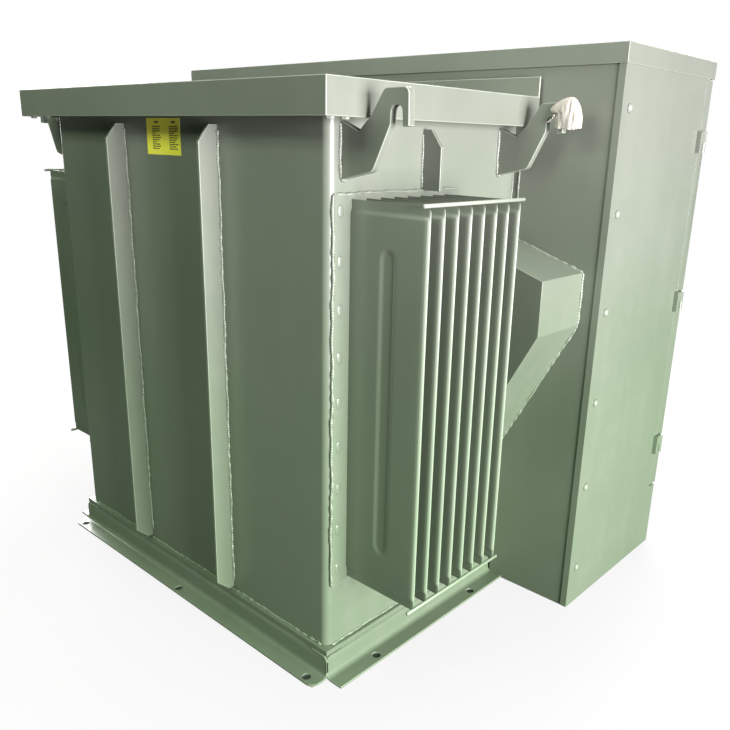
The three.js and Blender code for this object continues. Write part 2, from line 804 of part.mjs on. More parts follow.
// ---- Controls ------------------------------------------------------------------------------------------------------------
// Draw-out fuse holders: a tube through the plate, a collar against it and an eye for the hot stick.
fuseX.forEach((x, i) => {
  const face = plateFront - gap;
  const profile = [
    [0, face - 60],
    [12, face - 60],
    [14, face - 20],
    [30, face - 18],
    [30, face],
    [fuseRadius, face],
    [fuseRadius, fuseLength],
    [0, fuseLength],
  ];
  const eyeY = face - 74;
  const eye = cut(
    box([x - 4, x + 4], [eyeY - 18, face - 55], [fuseZ - 18, fuseZ + 18]),
    rodX(9, x - 5, x + 5, eyeY, fuseZ, 16),
  );
  addPart(`fuse_holder_${i + 1}`, join(turnedY(profile, x, fuseZ), eye), greyEpoxy);
});

// A turned spindle with a hub and a flat bar across it, for the load-break switch and the tap changer.
function rotaryControl(x, z, hubRadius, barLength) {
  const face = plateFront - gap;
  const profile = [
    [0, face - 46],
    [16, face - 46],
    [16, face - 22],
    [hubRadius, face - 20],
    [hubRadius, face],
    [spindleRadius, face],
    [spindleRadius, shankLength],
    [0, shankLength],
  ];
  const bar = box([x - barLength / 2, x + barLength / 2], [face - 40, face - 26], [z - 11, z + 11]);
  const eyes = [-1, 1].map((e) => rodY(6, face - 41, face - 25, x + e * (barLength / 2 - 12), z, 12));
  return cut(join(turnedY(profile, x, z), bar), ...eyes);
}
addPart("switch_handle", rotaryControl(switchX, controlZ, 38, 150), zincSteel);
addPart("tap_handle", rotaryControl(tapX, controlZ, 26, 84), brassMetal);

const plateFace = plateFront - gap;
addPart(
  "level_gauge",
  turnedY(
    [
      [0, plateFace - 34],
      [44, plateFace - 34],
      [50, plateFace - 30],
      [50, plateFace - 10],
      [36, plateFace - 8],
      [36, plateFace],
      [0, plateFace],
    ],
    gaugeX,
    controlZ,
  ),
  dialWhite,
);

// The relief valve's body, and its pull ring, which slides out along the valve's axis.
const reliefFront = plateFace - 50;
addPart(
  "relief_valve",
  cut(
    turnedY(
      [
        [0, reliefFront],
        [14, reliefFront],
        [18, plateFace - 34],
        [18, plateFace - 14],
        [24, plateFace - 12],
        [24, plateFace],
        [0, plateFace],
      ],
      reliefX,
      reliefZ,
      16,
    ),
    rodY(4.5, reliefFront - 1, reliefFront + 20, reliefX, reliefZ, 12),
  ),
  brassMetal,
);
const ringY = reliefFront - 24;
addPart(
  "relief_ring",
  join(
    solid(new THREE.TorusGeometry(15, 2.5, 6, 14).rotateY(Math.PI / 2).translate(reliefX, ringY, reliefZ)),
    rodY(3.5, ringY + 14, reliefFront + 18, reliefX, reliefZ, 10),
  ),
  zincSteel,
);

// The drain and sampling valve, and the wheel that screws it shut.
const valveY = plateFace - 62;
addPart(
  "drain_valve",
  cut(
    join(
      rodY(24, valveY - 22, plateFace, drainX, drainZ),
      rodZ(15, drainZ, drainZ + 56, drainX, valveY),
      rodY(30, plateFace - 12, plateFace, drainX, drainZ),
    ),
    rodZ(6.5, drainZ + 20, drainZ + 60, drainX, valveY, 16),
    rodY(15, valveY - 30, valveY - 14, drainX, drainZ),
  ),
  brassMetal,
);
const wheelZ = drainZ + 78;
addPart(
  "drain_wheel",
  join(
    solid(new THREE.TorusGeometry(30, 5, 6, 18).translate(drainX, valveY, wheelZ)),
    rodZ(9, wheelZ - 6, wheelZ + 6, drainX, valveY, 12),
    rodZ(6, drainZ + 24, wheelZ, drainX, valveY, 12),
    box([drainX - 28, drainX + 28], [valveY - 4, valveY + 4], [wheelZ - 3, wheelZ + 3]),
    box([drainX - 4, drainX + 4], [valveY - 28, valveY + 28], [wheelZ - 3, wheelZ + 3]),
  ),
  zincSteel,
);

// ---- Core and coils ----------------------------------------------------------------------------------------------------------
const coreY = tankDepth / 2;
const coreTop = coreBottom + coreHeight;
const yoke = limbWidth;
function core() {
  const block = box(
    [-limbPitch - limbWidth / 2, limbPitch + limbWidth / 2],
    [coreY - coreStack / 2, coreY + coreStack / 2],
    [coreBottom, coreTop],
  );
  const windows = [-1, 1].map((s) =>
    box(
      [s * (limbWidth / 2), s * (limbPitch - limbWidth / 2)],
      [coreY - coreStack, coreY + coreStack],
      [coreBottom + yoke, coreTop - yoke],
    ),
  );
  return cut(block, ...windows);
}
addPart("core", core(), siliconSteel);
["left", "middle", "right"].forEach((phase, i) => {
  const x = (i - 1) * limbPitch;
  const hx = limbWidth / 2 + coilClearance;
  const hy = coreStack / 2 + coilClearance;
  const z = [coreBottom + yoke + coilClearance, coreTop - yoke - coilClearance];
  const outer = box([x - hx - coilWall, x + hx + coilWall], [coreY - hy - coilWall, coreY + hy + coilWall], z);
  const bore = box([x - hx, x + hx], [coreY - hy, coreY + hy], [z[0] - 1, z[1] + 1]);
  addPart(`coil_${phase}`, cut(outer, bore), coilPaper);
});

export default model;
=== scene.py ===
from math import degrees, pi, radians

import bmesh
import bpy
import numpy as np
from mathutils import Matrix, Vector


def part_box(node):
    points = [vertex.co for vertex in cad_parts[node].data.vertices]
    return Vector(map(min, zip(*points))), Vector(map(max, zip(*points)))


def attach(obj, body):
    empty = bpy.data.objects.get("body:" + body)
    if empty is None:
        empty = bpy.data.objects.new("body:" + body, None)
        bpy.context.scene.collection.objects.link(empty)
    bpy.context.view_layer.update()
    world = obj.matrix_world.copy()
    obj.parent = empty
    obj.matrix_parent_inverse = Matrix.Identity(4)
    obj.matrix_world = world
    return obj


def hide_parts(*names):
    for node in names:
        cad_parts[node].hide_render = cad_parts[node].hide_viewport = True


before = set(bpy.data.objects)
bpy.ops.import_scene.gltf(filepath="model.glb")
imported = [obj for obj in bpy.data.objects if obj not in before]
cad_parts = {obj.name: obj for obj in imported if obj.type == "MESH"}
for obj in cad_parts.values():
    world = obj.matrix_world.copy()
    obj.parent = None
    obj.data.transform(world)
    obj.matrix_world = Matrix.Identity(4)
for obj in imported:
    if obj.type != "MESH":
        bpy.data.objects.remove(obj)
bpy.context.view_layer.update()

# ---- Camera ----
# It stands behind the transformer, off the tank's left rear corner, at about the height of the lid, and leans by a
# degree or so. Its three directions are unit vectors: to the view's right, down it, and into it.
camera_place = Vector((-1.8934, 1.8646, 1.4053))
camera_right = Vector((-0.737850, -0.674521, 0.024482))
camera_down = Vector((-0.218517, 0.204401, -0.954186))
camera_ahead = Vector((0.638614, -0.709395, -0.298211))
camera_lens = bpy.data.cameras.new("camera")
camera_lens.sensor_width = 36
camera_lens.lens = 37.35
camera_lens.shift_x = -0.0182
camera_lens.shift_y = 0.0158
camera = bpy.data.objects.new("camera", camera_lens)
link_object = bpy.context.scene.collection.objects.link
link_object(camera)
camera.matrix_world = Matrix.Translation(camera_place) @ Matrix(
    (camera_right, -camera_down, -camera_ahead)
).transposed().to_4x4()
bpy.context.scene.camera = camera

# ---- Studio ----
# A pale floor under large soft lights. The strongest stands off the tank's left side, so that faces turned that way
# are pale and the back of the tank stays in half shade. Others light the front, the right side and the top.
studio_lights = (
    # name, place, size across and up, watts, tint
    ("side_light", (-5.4, 0.85, 1.2), (2.6, 2.4), 980, (1.0, 0.94, 1.0)),
    ("back_light", (0.3, 3.4, 3.4), (2.4, 1.2), 84, (0.88, 1.0, 0.83)),
    ("top_light", (-0.5, 0.3, 5.0), (3.2, 2.6), 210, (1.0, 0.97, 0.96)),
    ("front_light", (1.6, -5.4, 2.6), (3.6, 3.0), 620, (1.0, 0.97, 0.97)),
    ("right_light", (5.4, -0.8, 2.6), (2.8, 2.6), 380, (1.0, 0.97, 0.97)),
)
for name, place, size, watts, tint in studio_lights:
    lamp = bpy.data.lights.new(name, "AREA")
    lamp.shape = "RECTANGLE"
    lamp.size, lamp.size_y = size
    lamp.energy = watts
    lamp.color = tint
    holder = bpy.data.objects.new(name, lamp)
    link_object(holder)
    towards_middle = Vector((0, 0, 0.8)) - Vector(place)
    holder.matrix_world = Matrix.Translation(place) @ towards_middle.to_track_quat("-Z", "Y").to_matrix().to_4x4()

world = bpy.data.worlds.new("studio")
bpy.context.scene.world = world
world.use_nodes = True
world_nodes, world_links = world.node_tree.nodes, world.node_tree.links
# The light it gives is dim and greenish, and the room itself is seen as plain white.
room, seen_room = world_nodes["Background"], world_nodes.new("ShaderNodeBackground")
for walls, shade, strength in ((room, (0.74, 1.0, 0.70, 1), 0.055), (seen_room, (1, 1, 1, 1), 1.0)):
    walls.inputs["Color"].default_value = shade
    walls.inputs["Strength"].default_value = strength
which_ray = world_nodes.new("ShaderNodeLightPath")
either_room = world_nodes.new("ShaderNodeMixShader")
world_links.new(which_ray.outputs["Is Camera Ray"], either_room.inputs[0])
world_links.new(room.outputs[0], either_room.inputs[1])
world_links.new(seen_room.outputs[0], either_room.inputs[2])
world_links.new(either_room.outputs[0], world_nodes["World Output"].inputs["Surface"])
bpy.context.scene.view_settings.view_transform = "Standard"


class Field:
    """A number or colour that changes over a surface: one output socket in a material's node tree."""

    def __init__(self, tree, socket):
        self.tree, self.socket = tree, socket

    def node(self, kind, settings=(), sockets=(), output=0):
        """Adds a node of this kind. settings come first, a ramp's as stops, then its sockets' numbers or fields."""
        node = self.tree.nodes.new(kind)
        settings = dict(settings)
        for index, (at, shade) in enumerate(settings.pop("stops", ())):
            stops = node.color_ramp.elements
            stop = stops[index] if index < len(stops) else stops.new(at)
            stop.position, stop.color = at, (*shade, 1)
        for setting, value in settings.items():
            setattr(node, setting, value)
        for key, value in dict(sockets).items():
            if isinstance(value, Field):
                self.tree.links.new(value.socket, node.inputs[key])
            else:
                node.inputs[key].default_value = value
        return Field(self.tree, node.outputs[output])

    def maths(self, operation, *values):
        return self.node("ShaderNodeMath", {"operation": operation}, enumerate(values))

    def __add__(self, other):
        return self.maths("ADD", self, other)

    __radd__ = __add__

    def __sub__(self, other):
        return self.maths("SUBTRACT", self, other)

    def __rsub__(self, other):
        return self.maths("SUBTRACT", other, self)

    def __mul__(self, other):
        return self.maths("MULTIPLY", self, other)

    __rmul__ = __mul__

    def larger(self, other):
        return self.maths("MAXIMUM", self, other)

    def between(self, low, high):
        """0 below low and 1 above high, or the other way round where low is the greater, with a soft step."""
        settings = {"interpolation_type": "SMOOTHSTEP"}
        return self.node("ShaderNodeMapRange", settings, {0: self, 1: low, 2: high, 3: 0.0, 4: 1.0})

    def noise(self, scale, detail=2.0, roughness=0.5, stretch=(1, 1, 1)):
        """Noise from 0 to 1 on these coordinates, scale cells to the metre, stretched along an axis by its factor."""
        place = self.node("ShaderNodeMapping", (), {"Vector": self, "Scale": tuple(1 / s for s in stretch)})
        sockets = {"Vector": place, "Scale": scale, "Detail": detail, "Roughness": roughness}
        return self.node("ShaderNodeTexNoise", (), sockets)

    def bands(self, way, scale, distortion):
        """Waves from 0 to 1 along one axis of these coordinates, scale of them to every pi / 10 metres."""
        sockets = {"Vector": self, "Scale": scale, "Distortion": distortion}
        return self.node("ShaderNodeTexWave", {"bands_direction": way}, sockets, 1)

    def axis(self, index):
        return self.node("ShaderNodeSeparateXYZ", (), {0: self}, index)

    def mixed(self, first, second, blend="MIX"):
        """first where this is 0 and second where it is 1. Both are colours."""
        settings = {"data_type": "RGBA", "blend_type": blend}
        shades = [c if isinstance(c, Field) else (*c, 1) for c in (first, second)]
        return self.node("ShaderNodeMix", settings, {0: self, 6: shades[0], 7: shades[1]}, 2)


def new_finish(name, **even):
    """A material and its object coordinates. even gives shader values that are the same all over."""
    material = bpy.data.materials.new(name)
    material.use_nodes = True
    tree = material.node_tree
    shader = tree.nodes["Principled BSDF"]
    for socket, value in even.items():
        shader.inputs[socket.replace("_", " ")].default_value = value
    place = Field(tree, tree.nodes.new("ShaderNodeTexCoord").outputs["Object"])
    return material, place


def varies(material, **fields):
    """Feeds fields to the sockets of the material's shader. Height, in metres, goes through a Bump node."""
    shader = material.node_tree.nodes["Principled BSDF"]
    for socket, field in fields.items():
        if socket == "Height":
            field = field.node("ShaderNodeBump", (), {"Strength": 1.0, "Distance": 1.0, "Height": field})
            socket = "Normal"
        field.tree.links.new(field.socket, shader.inputs[socket.replace("_", " ")])


def round_steps(count):
    """count angles, evenly spaced round a full turn."""
    return np.linspace(0, 2 * pi, count, endpoint=False)


floor_reach = 5.0
floor_mesh = bpy.data.meshes.new("floor")
floor_turn = round_steps(96)
floor_edge = np.stack([np.cos(floor_turn), np.sin(floor_turn), 0 * floor_turn], 1) * floor_reach
floor_mesh.from_pydata(floor_edge.tolist(), [], [list(range(len(floor_edge)))])
floor = bpy.data.objects.new("floor", floor_mesh)
link_object(floor)
# It is whole under the metal and painted near black there, a painted shadow that shows through the anchor holes; it
# is thin round it, and fades out into the pale room.
floor_paint, floor_place = new_finish("pale_floor", Roughness=0.8)
far = floor_place.node("ShaderNodeVectorMath", {"operation": "LENGTH"}, {0: floor_place}, 1)
thin, margin = 0.2, 0.008
cover = far.between(4.2, 1.9) * thin
painted_shadow_under_metal = far * 0
for node in ("tank_floor", "base_rail_back", "base_rail_left", "base_rail_right", "cabinet_roof"):
    low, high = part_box(node)
    under = [floor_place.axis(i).between(low[i], low[i] + margin) for i in (0, 1)]
    under += [floor_place.axis(i).between(high[i], high[i] - margin) for i in (0, 1)]
    painted_shadow_under_metal = painted_shadow_under_metal.larger(under[0] * under[1] * under[2] * under[3])
varies(
    floor_paint,
    Base_Color=painted_shadow_under_metal.mixed((0.42, 0.42, 0.42), (0.03, 0.04, 0.03)),
    Alpha=painted_shadow_under_metal.larger(cover),
)
floor_mesh.materials.append(floor_paint)


# ---- Tank walls, floor and front plate ----
# The tank is 8 mm mild steel plate with its corners folded round, welded on a thicker floor plate and to the front
# plate that carries the terminals, and sprayed with a semi-gloss grey-green enamel.
def enamel(name, shade, gloss=0.36, sag=0.0009, peel=0.000016):
    """Sprayed enamel, greyed by dust in clouds and runs, with orange peel and a slack sheet's sag. Its colour is
    painted darker and purer green towards the ground, a painted shade for light that falls off there."""
    material, place = new_finish(name, Coat_Weight=0.25, Coat_Roughness=0.22, IOR=1.5)
    clouds = place.noise(2.3, 3.0, 0.55)
    mottle = place.noise(19.0, 4.0, 0.6)
    runs = place.noise(14.0, 3.0, 0.5, (1, 1, 14))
    # painted shade: from 1.62 m down to 0.4 m the colour turns darker and greener, for light falling off towards the
    # ground
    low = place.axis(2).between(1.62, 0.4)
    dust = (clouds * 0.5 + mottle * 0.3 + runs * 0.35).between(0.44, 0.86)
    fresh = clouds.between(0.25, 0.75).mixed(shade * 0.95, shade * 1.05)
    painted_ground_shade = low.mixed(fresh, shade * (0.70, 0.89, 0.655))
    dusty = (dust * 0.24).mixed(painted_ground_shade, shade * 0.72 + (0.07, 0.066, 0.055))
    specks = place.noise(420.0, 1.0).between(0.70, 0.80)
    colour = (specks * 0.16).mixed(dusty, shade * 0.45)
    rough = gloss + dust * 0.13 + (mottle - 0.5) * 0.09
    height = place.noise(3.1, 1.0) * sag + place.noise(330.0, 1.0) * peel + place.noise(90.0, 2.0) * peel
    varies(material, Base_Color=colour, Roughness=rough, Height=height)
    return material


tank_green = np.array((0.156, 0.177, 0.142))
tank_paint = enamel("tank_enamel", tank_green)
# A lighter copy of the enamel for rounded edges and small parts: a painted highlight along them.
tank_edge_highlight_paint = enamel("tank_enamel_painted_edge_highlights", 1.35 * tank_green + 0.05, 0.42)
# The enamel on the weld beads is painted lighter, a painted highlight along them.
weld_highlight_paint = enamel("tank_enamel_on_welds_painted_highlight", 1.12 * tank_green + 0.03, 0.34, peel=0.0003)


def round_edges(piece, width, segments, angle, material=-1):
    """Rounds the edges sharper than angle degrees to width."""
    rounding = piece.modifiers.new("rounded_edges", "BEVEL")
    rounding.width = width
    rounding.segments = segments
    rounding.limit_method = "ANGLE"
    rounding.angle_limit = radians(angle)
    rounding.harden_normals = True
    rounding.material = material


def new_piece(name, points, faces, finish, slot, body="root", crease=32):
    """A piece from arrays of points and faces, smooth but for edges sharper than crease degrees. Points that meet
    are merged, and the faces are turned one way, outwards on a closed piece."""
    mesh = bpy.data.meshes.new(name)
    mesh.from_pydata(np.asarray(points, float).reshape(-1, 3).tolist(), [], [list(map(int, f)) for f in faces])
    work = bmesh.new()
    work.from_mesh(mesh)
    bmesh.ops.remove_doubles(work, verts=work.verts, dist=1e-6)
    bmesh.ops.dissolve_degenerate(work, edges=work.edges, dist=1e-7)
    bmesh.ops.recalc_face_normals(work, faces=work.faces)
    work.to_mesh(mesh)
    work.free()
    return finish_piece(name, mesh, finish, body, crease)


def finish_piece(name, mesh, finish, body, crease=32):
    """Puts a mesh in the scene with its finish and body."""
    piece = bpy.data.objects.new(name, mesh)
    link_object(piece)
    mesh.materials.append(finish)
    mesh.shade_smooth()
    mesh.set_sharp_from_angle(angle=radians(crease))
    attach(piece, body)
    return piece


def softened(node, finish, radius, edge_highlight_finish=None, body="root", segments=2):
    """A copy of a CAD node with its triangles merged into whole faces, and its edges rounded to radius. The rounded
    faces can take a second, lighter finish: a painted highlight along the edges.
    """
    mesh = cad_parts[node].data.copy()
    mesh.materials.clear()
    work = bmesh.new()
    work.from_mesh(mesh)
    bmesh.ops.remove_doubles(work, verts=work.verts, dist=2e-5)
    bmesh.ops.dissolve_limit(work, angle_limit=radians(0.8), verts=work.verts, edges=work.edges)
    work.to_mesh(mesh)
    work.free()
    piece = finish_piece(f"{node}_finished", mesh, finish, body)
    if edge_highlight_finish:
        mesh.materials.append(edge_highlight_finish)
    round_edges(piece, radius, segments, 34, 1 if edge_highlight_finish else -1)
    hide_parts(node)
    return piece


for node in ("tank_walls", "tank_floor", "tank_front_plate", "tank_top_flange"):
    softened(node, tank_paint, 0.0016)

# ---- Lid and gasket ----
# A 6 mm sheet lid with its rim folded down outside the top flange, and an upstand along its front. It is clamped on
# a flat nitrile gasket.
softened("tank_lid", tank_paint, 0.0022, tank_edge_highlight_paint, segments=3)
rubber, rubber_place = new_finish("gasket_rubber", Roughness=0.6, Base_Color=(0.02, 0.02, 0.021, 1))
varies(
    rubber,
    Base_Color=rubber_place.noise(40.0, 3.0).mixed((0.016, 0.016, 0.017), (0.04, 0.04, 0.038)),
    Height=rubber_place.noise(700.0, 2.0) * 0.00008,
)
softened("lid_gasket", rubber, 0.0008)


# ---- Ribs and weld beads ----
# Four flat bars stiffen the tank: two down the back and a short one above each radiator, fillet welded along both
# sides. A bead is laid by hand, so it ripples and wanders a little, and the enamel covers it.
def weld(name, start, end, out, radius=0.0036, ripple=0.0075, body="root", finish=None, seed=0):
    """A bead from start to end. At angle a round its line and distance s along it, its radius is the bead's radius
    times 1 plus a ripple and lumps, all waves in s, less at both ends. Its middle wanders by two slow waves."""
    start, end, out = (np.array(v, float) for v in (start, end, out))
    length = np.linalg.norm(end - start)
    along = (end - start) / length
    out = out - along * (out @ along)
    out /= np.linalg.norm(out)
    across = np.cross(along, out)
    rows = int(length / ripple) * 5 + 1
    s = np.linspace(0, length, rows)[:, None]
    a = round_steps(9)[None, :]
    phase = 1.7 * seed
    lumps = np.sin(s * 137 + phase) * np.sin(s * 53 + 2) + 0.6 * np.sin(s * 211 + 2 * phase)
    swell = 1 + 0.1 * np.cos(2 * pi * s / ripple + 0.5 * np.cos(a)) + 0.22 * lumps
    blunt = np.clip(np.minimum(s, length - s) / radius, 0.02, 1) ** 0.5
    r = radius * swell * blunt
    wander = radius * 0.22 * (np.sin(s * 61 + phase) + np.sin(s * 23 + 1))
    points = (
        start
        + s[..., None] * along
        + (wander + r * np.sin(a))[..., None] * across
        + (r * np.cos(a))[..., None] * out
    )
    return new_piece(name, points, tube_faces(rows, a.size), finish or weld_highlight_paint, "tank_paint", body, 75)


def grid_faces(rows, columns, joined_rows=False, joined_columns=False):
    """The squares of a grid of points given row by row. A joined direction closes on itself."""
    r = np.arange(rows if joined_rows else rows - 1)[:, None]
    c = np.arange(columns if joined_columns else columns - 1)[None, :]
    r1, c1 = (r + 1) % rows, (c + 1) % columns
    corners = np.broadcast_arrays(r * columns + c, r * columns + c1, r1 * columns + c1, r1 * columns + c)
    return np.stack([k.ravel() for k in corners], 1)


def tube_faces(rows, columns):
    """A grid joined round its columns, with both ends closed by one face each."""
    ends = [list(range(columns)), list(range((rows - 1) * columns, rows * columns))]
    return [*grid_faces(rows, columns, joined_columns=True).tolist(), *ends]


for side in ("left", "right"):
    for kind in ("back_rib", "side_rib"):
        softened(f"{kind}_{side}", tank_paint, 0.0016, tank_edge_highlight_paint)

both_sides = (("left", -1), ("right", 1))
wall_low, wall_high = np.array(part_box("tank_walls"))
wall_back, wall_half = wall_high[1], wall_high[0]
for index, side in enumerate(("left", "right")):
    low, high = np.array(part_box(f"back_rib_{side}"))
    for turn, x in ((-1, low[0]), (1, high[0])):
        name = f"back_rib_{side}_weld_{'left' if turn < 0 else 'right'}"
        foot, head = (x, wall_back, low[2] + 0.018), (x, wall_back, high[2] - 0.012)
        weld(name, foot, head, (turn, 1, 0), 0.0048, seed=index * 2 + turn)
    low, high = np.array(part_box(f"side_rib_{side}"))
    sign = -1 if side == "left" else 1
    for turn, y in ((-1, low[1]), (1, high[1])):
        name = f"side_rib_{side}_weld_{'front' if turn < 0 else 'back'}"
        foot, head = (sign * wall_half, y, low[2] + 0.004), (sign * wall_half, y, high[2] - 0.01)
        weld(name, foot, head, (sign, turn, 0), 0.0036, seed=index + turn)

# The walls stand on the floor plate in one long fillet.
floor_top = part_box("tank_floor")[1][2]
corner = 0.02
floor_ends = [(turn * (wall_half - corner), wall_back, floor_top) for turn in (-1, 1)]
weld("floor_weld_back", *floor_ends, (0, 1, 1), 0.0038)
for side, sign in both_sides:
    x = sign * wall_half
    foot, head = (x, -0.09, floor_top), (x, wall_back - corner, floor_top)
    weld(f"floor_weld_{side}", foot, head, (sign, 0, 1), 0.0038, seed=sign)
    weld(f"front_weld_{side}", (x, wall_low[1], 0.10), (x, wall_low[1], 1.42), (sign, 1, 0), 0.0036, seed=3 + sign)

# ---- Side pocket ----
# A folded sheet box welded to the tank's left wall beside the cabinet, which houses the tap changer's linkage and
# opens into the tank.
softened("side_pocket", tank_paint, 0.004, segments=3)
low, high = np.array(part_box("side_pocket"))
foot, head = (-wall_half, high[1], low[2] + 0.01), (-wall_half, high[1], high[2] - 0.01)
weld("side_pocket_weld_wall", foot, head, (-1, 1, 0), 0.004, seed=5)
# the pocket's front edge, down its bends: x and height
pocket_bends = [(-wall_half, 1.144), (low[0], 1.062), (low[0], 0.911), (-wall_half, 0.431)]
for number, (start, end) in enumerate(zip(pocket_bends, pocket_bends[1:])):
    out = ((0.3, -1, 1), (-1, -1, 0), (-0.8, -1, -0.5))[number]
    ends = [(x, low[1] + 0.004, z) for x, z in (start, end)]
    weld(f"side_pocket_weld_{number + 1}", *ends, out, 0.0042, 0.009, seed=number + 8)

# ---- Lifting hooks ----
# Four hooks flame-cut from 19 mm plate and welded on edge to the side walls, just clear of the lid's rim.
for place, side in (("rear", "left"), ("front", "left"), ("rear", "right"), ("front", "right")):
    node = f"{place}_hook_{side}"
    softened(node, tank_paint, 0.002, tank_edge_highlight_paint, segments=3)
    low, high = np.array(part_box(node))
    sign = -1 if side == "left" else 1
    for turn, y in ((-1, low[1]), (1, high[1])):
        foot, head = (sign * wall_half, y, low[2] + 0.002), (sign * wall_half, y, low[2] + 0.125)
        weld(f"{node}_weld_{'front' if turn < 0 else 'back'}", foot, head, (sign, turn, 0), 0.005, seed=turn)
    foot_line = (sign * wall_half, low[1], low[2]), (sign * wall_half, high[1], low[2])
    weld(f"{node}_weld_foot", *foot_line, (sign, 0, -1), 0.005)

# ---- Packing sleeve ----
# A cotton bag pulled over the nose of the front left hook so that it marks nothing in transport. It is closed at the
# top, hemmed at its mouth, and creases where it is drawn in under its bulge on the tank's side.
sleeve_low, sleeve_high = np.array(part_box("hook_sleeve"))
hook_low, hook_high = np.array(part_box("front_hook_left"))
hook_middle = (hook_low[1] + hook_high[1]) / 2


def sleeve_points(inset=0.0):
    """Height h runs from the hem at 0 to the crown at 1, and angle a round the hook. The half width closes over the
    crown as the root of 1 less a power of h, 2.3 outside and 4 towards the tank, where two quarter ellipses that meet
    at h = 0.66 add a bulge. Folds are waves in a and h whose depth grows towards the mouth."""
    h = np.linspace(0, 1, 42)[:, None]
    a = round_steps(72)[None, :]
    round_crown = np.sqrt(np.clip(1 - h**4.0, 0, 1))
    outer = 0.034 * np.sqrt(np.clip(1 - h**2.3, 0, 1))
    off_bulge = (h - 0.66) / np.where(h < 0.66, 0.19, 0.42)
    bulge = 0.023 * np.sqrt(np.clip(1 - off_bulge**2, 0, 1))
    toward_tank = (0.031 + bulge) * round_crown
    x_middle = sleeve_low[0] + 0.0375
    half_x = np.where(np.cos(a) < 0, outer, toward_tank)
    half_y = (0.0215 + 0.004 * np.sin(3.0 * h + 0.4)) * round_crown
    folds = (
        0.045 * np.sin(7 * a + 5 * h + 0.3)
        + 0.045 * np.sin(11 * a - 7 * h + 1.1)
        + 0.045 * np.sin(17 * a + 11 * h * np.cos(a))
        + 0.022 * np.sin(26 * a - 4 * h)
    ) * (0.45 + 0.55 * (1 - h) ** 0.7)
    squash = np.abs(np.cos(a)) ** 0.12
    r = 1 + folds * squash - inset
    x = x_middle + half_x * np.sign(np.cos(a)) * np.abs(np.cos(a)) ** 0.8 * r
    y = hook_middle + half_y * np.sign(np.sin(a)) * np.abs(np.sin(a)) ** 0.8 * r
    lift = 0.0022 * np.sin(2 * a + 0.7) * (1 - h) + 0.0012 * np.sin(9 * a) * (1 - h)
    rise = (sleeve_high[2] - sleeve_low[2] - 0.005) * h**0.93
    z = sleeve_low[2] + 0.003 + rise + lift - 0.006 * (x - x_middle) / 0.04 * h
    return np.stack(np.broadcast_arrays(x, y, z), -1)


cotton, cotton_place = new_finish("sleeve_cotton", Roughness=0.9, Sheen_Weight=0.1)
threads = [cotton_place.bands(way, 330.0, 1.2) for way in ("X", "Y", "Z")]
stain = cotton_place.noise(28.0, 4.0, 0.6).between(0.48, 0.75)
cream = stain.mixed((0.43, 0.403, 0.361), (0.35, 0.32, 0.28))
weave = threads[0] + threads[1] + threads[2]
crumple = cotton_place.noise(70.0, 3.0, 0.55, (1, 1, 2.5))
varies(
    cotton,
    Base_Color=(weave * 0.12).mixed(cream, (0.46, 0.42, 0.35)),
    Height=weave * 0.00009 + crumple * 0.0045,
)
points = sleeve_points()
sleeve = new_piece(
    "hook_sleeve_cloth", points, grid_faces(*points.shape[:2], joined_columns=True), cotton, "sleeve", crease=80
)
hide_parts("hook_sleeve")
cloth = sleeve.modifiers.new("cloth", "SOLIDIFY")
cloth.thickness = 0.0012
cloth.offset = 0
smoothing = sleeve.modifiers.new("smooth", "SUBSURF")
smoothing.levels = smoothing.render_levels = 1

hem_row = points[1]
turn = round_steps(8)
hem_middle = hem_row.mean(0)
hem_out = (hem_row - hem_middle) / np.linalg.norm(hem_row - hem_middle, axis=1)[:, None]
hem_ring = (
    hem_row[:, None]
    + 0.0011 * np.cos(turn)[None, :, None] * hem_out[:, None]
    + 0.0032 * np.sin(turn)[None, :, None] * np.array((0, 0, 1.0))
)
hem = new_piece(
    "hook_sleeve_hem", hem_ring, grid_faces(len(hem_row), turn.size, True, True), cotton, "sleeve", crease=80
)
# The tie is a twisted end of the same cloth that hangs from the drawn-in side.
t = np.linspace(0, 1, 26)[:, None]
tie_path = np.concatenate(
    [
        sleeve_low[0] + 0.0655 + 0.020 * t + 0.002 * np.sin(9 * t),
        hook_middle + 0.0185 + 0.003 * np.sin(7 * t),
        sleeve_low[2] + 0.034 - 0.016 * t**1.6 + 0.0015 * np.sin(13 * t),
    ],
    1,
)
tie_radius = 0.0026 * (1 + 0.35 * np.sin(19 * t)) * np.clip(np.minimum(t + 0.1, 1.06 - t) * 8, 0.15, 1)
tie_turn = turn[None, :]
tie_points = tie_path[:, None] + np.stack(
    np.broadcast_arrays(0 * t, tie_radius * np.cos(tie_turn + 9 * t), tie_radius * np.sin(tie_turn + 9 * t)), -1
)
tie = new_piece("hook_sleeve_tie", tie_points, tube_faces(t.size, turn.size), cotton, "sleeve", crease=80)

# ---- Base rails ----
# Three 6 mm plates bent twice: a ledge under the floor plate, an upright web, and a foot that lies on the pad and is
# drilled for the anchors. The back rail's foot has rounded corners.
rail_sheet = 0.006
ledge_bend, foot_bend = 0.014, 0.017
hole_radius, hole_panel = 0.0125, 0.016


def rail_section(web_out, ledge_end, top):
    """Distance out and height of the sheet's middle, from the ledge's inner end to where the foot is flat again: two
    straight lines joined by quarter circles."""
    middle = web_out - rail_sheet / 2
    low, high = rail_sheet / 2, top - rail_sheet / 2
    quarter = np.linspace(0, pi / 2, 7)
    upper = np.stack([middle - ledge_bend * (1 - np.sin(quarter)), high - ledge_bend * (1 - np.cos(quarter))], 1)
    lower = np.stack([middle + foot_bend * (1 - np.cos(quarter)), low + foot_bend * (1 - np.sin(quarter))], 1)
    return np.concatenate([[(ledge_end, high)], upper, lower])


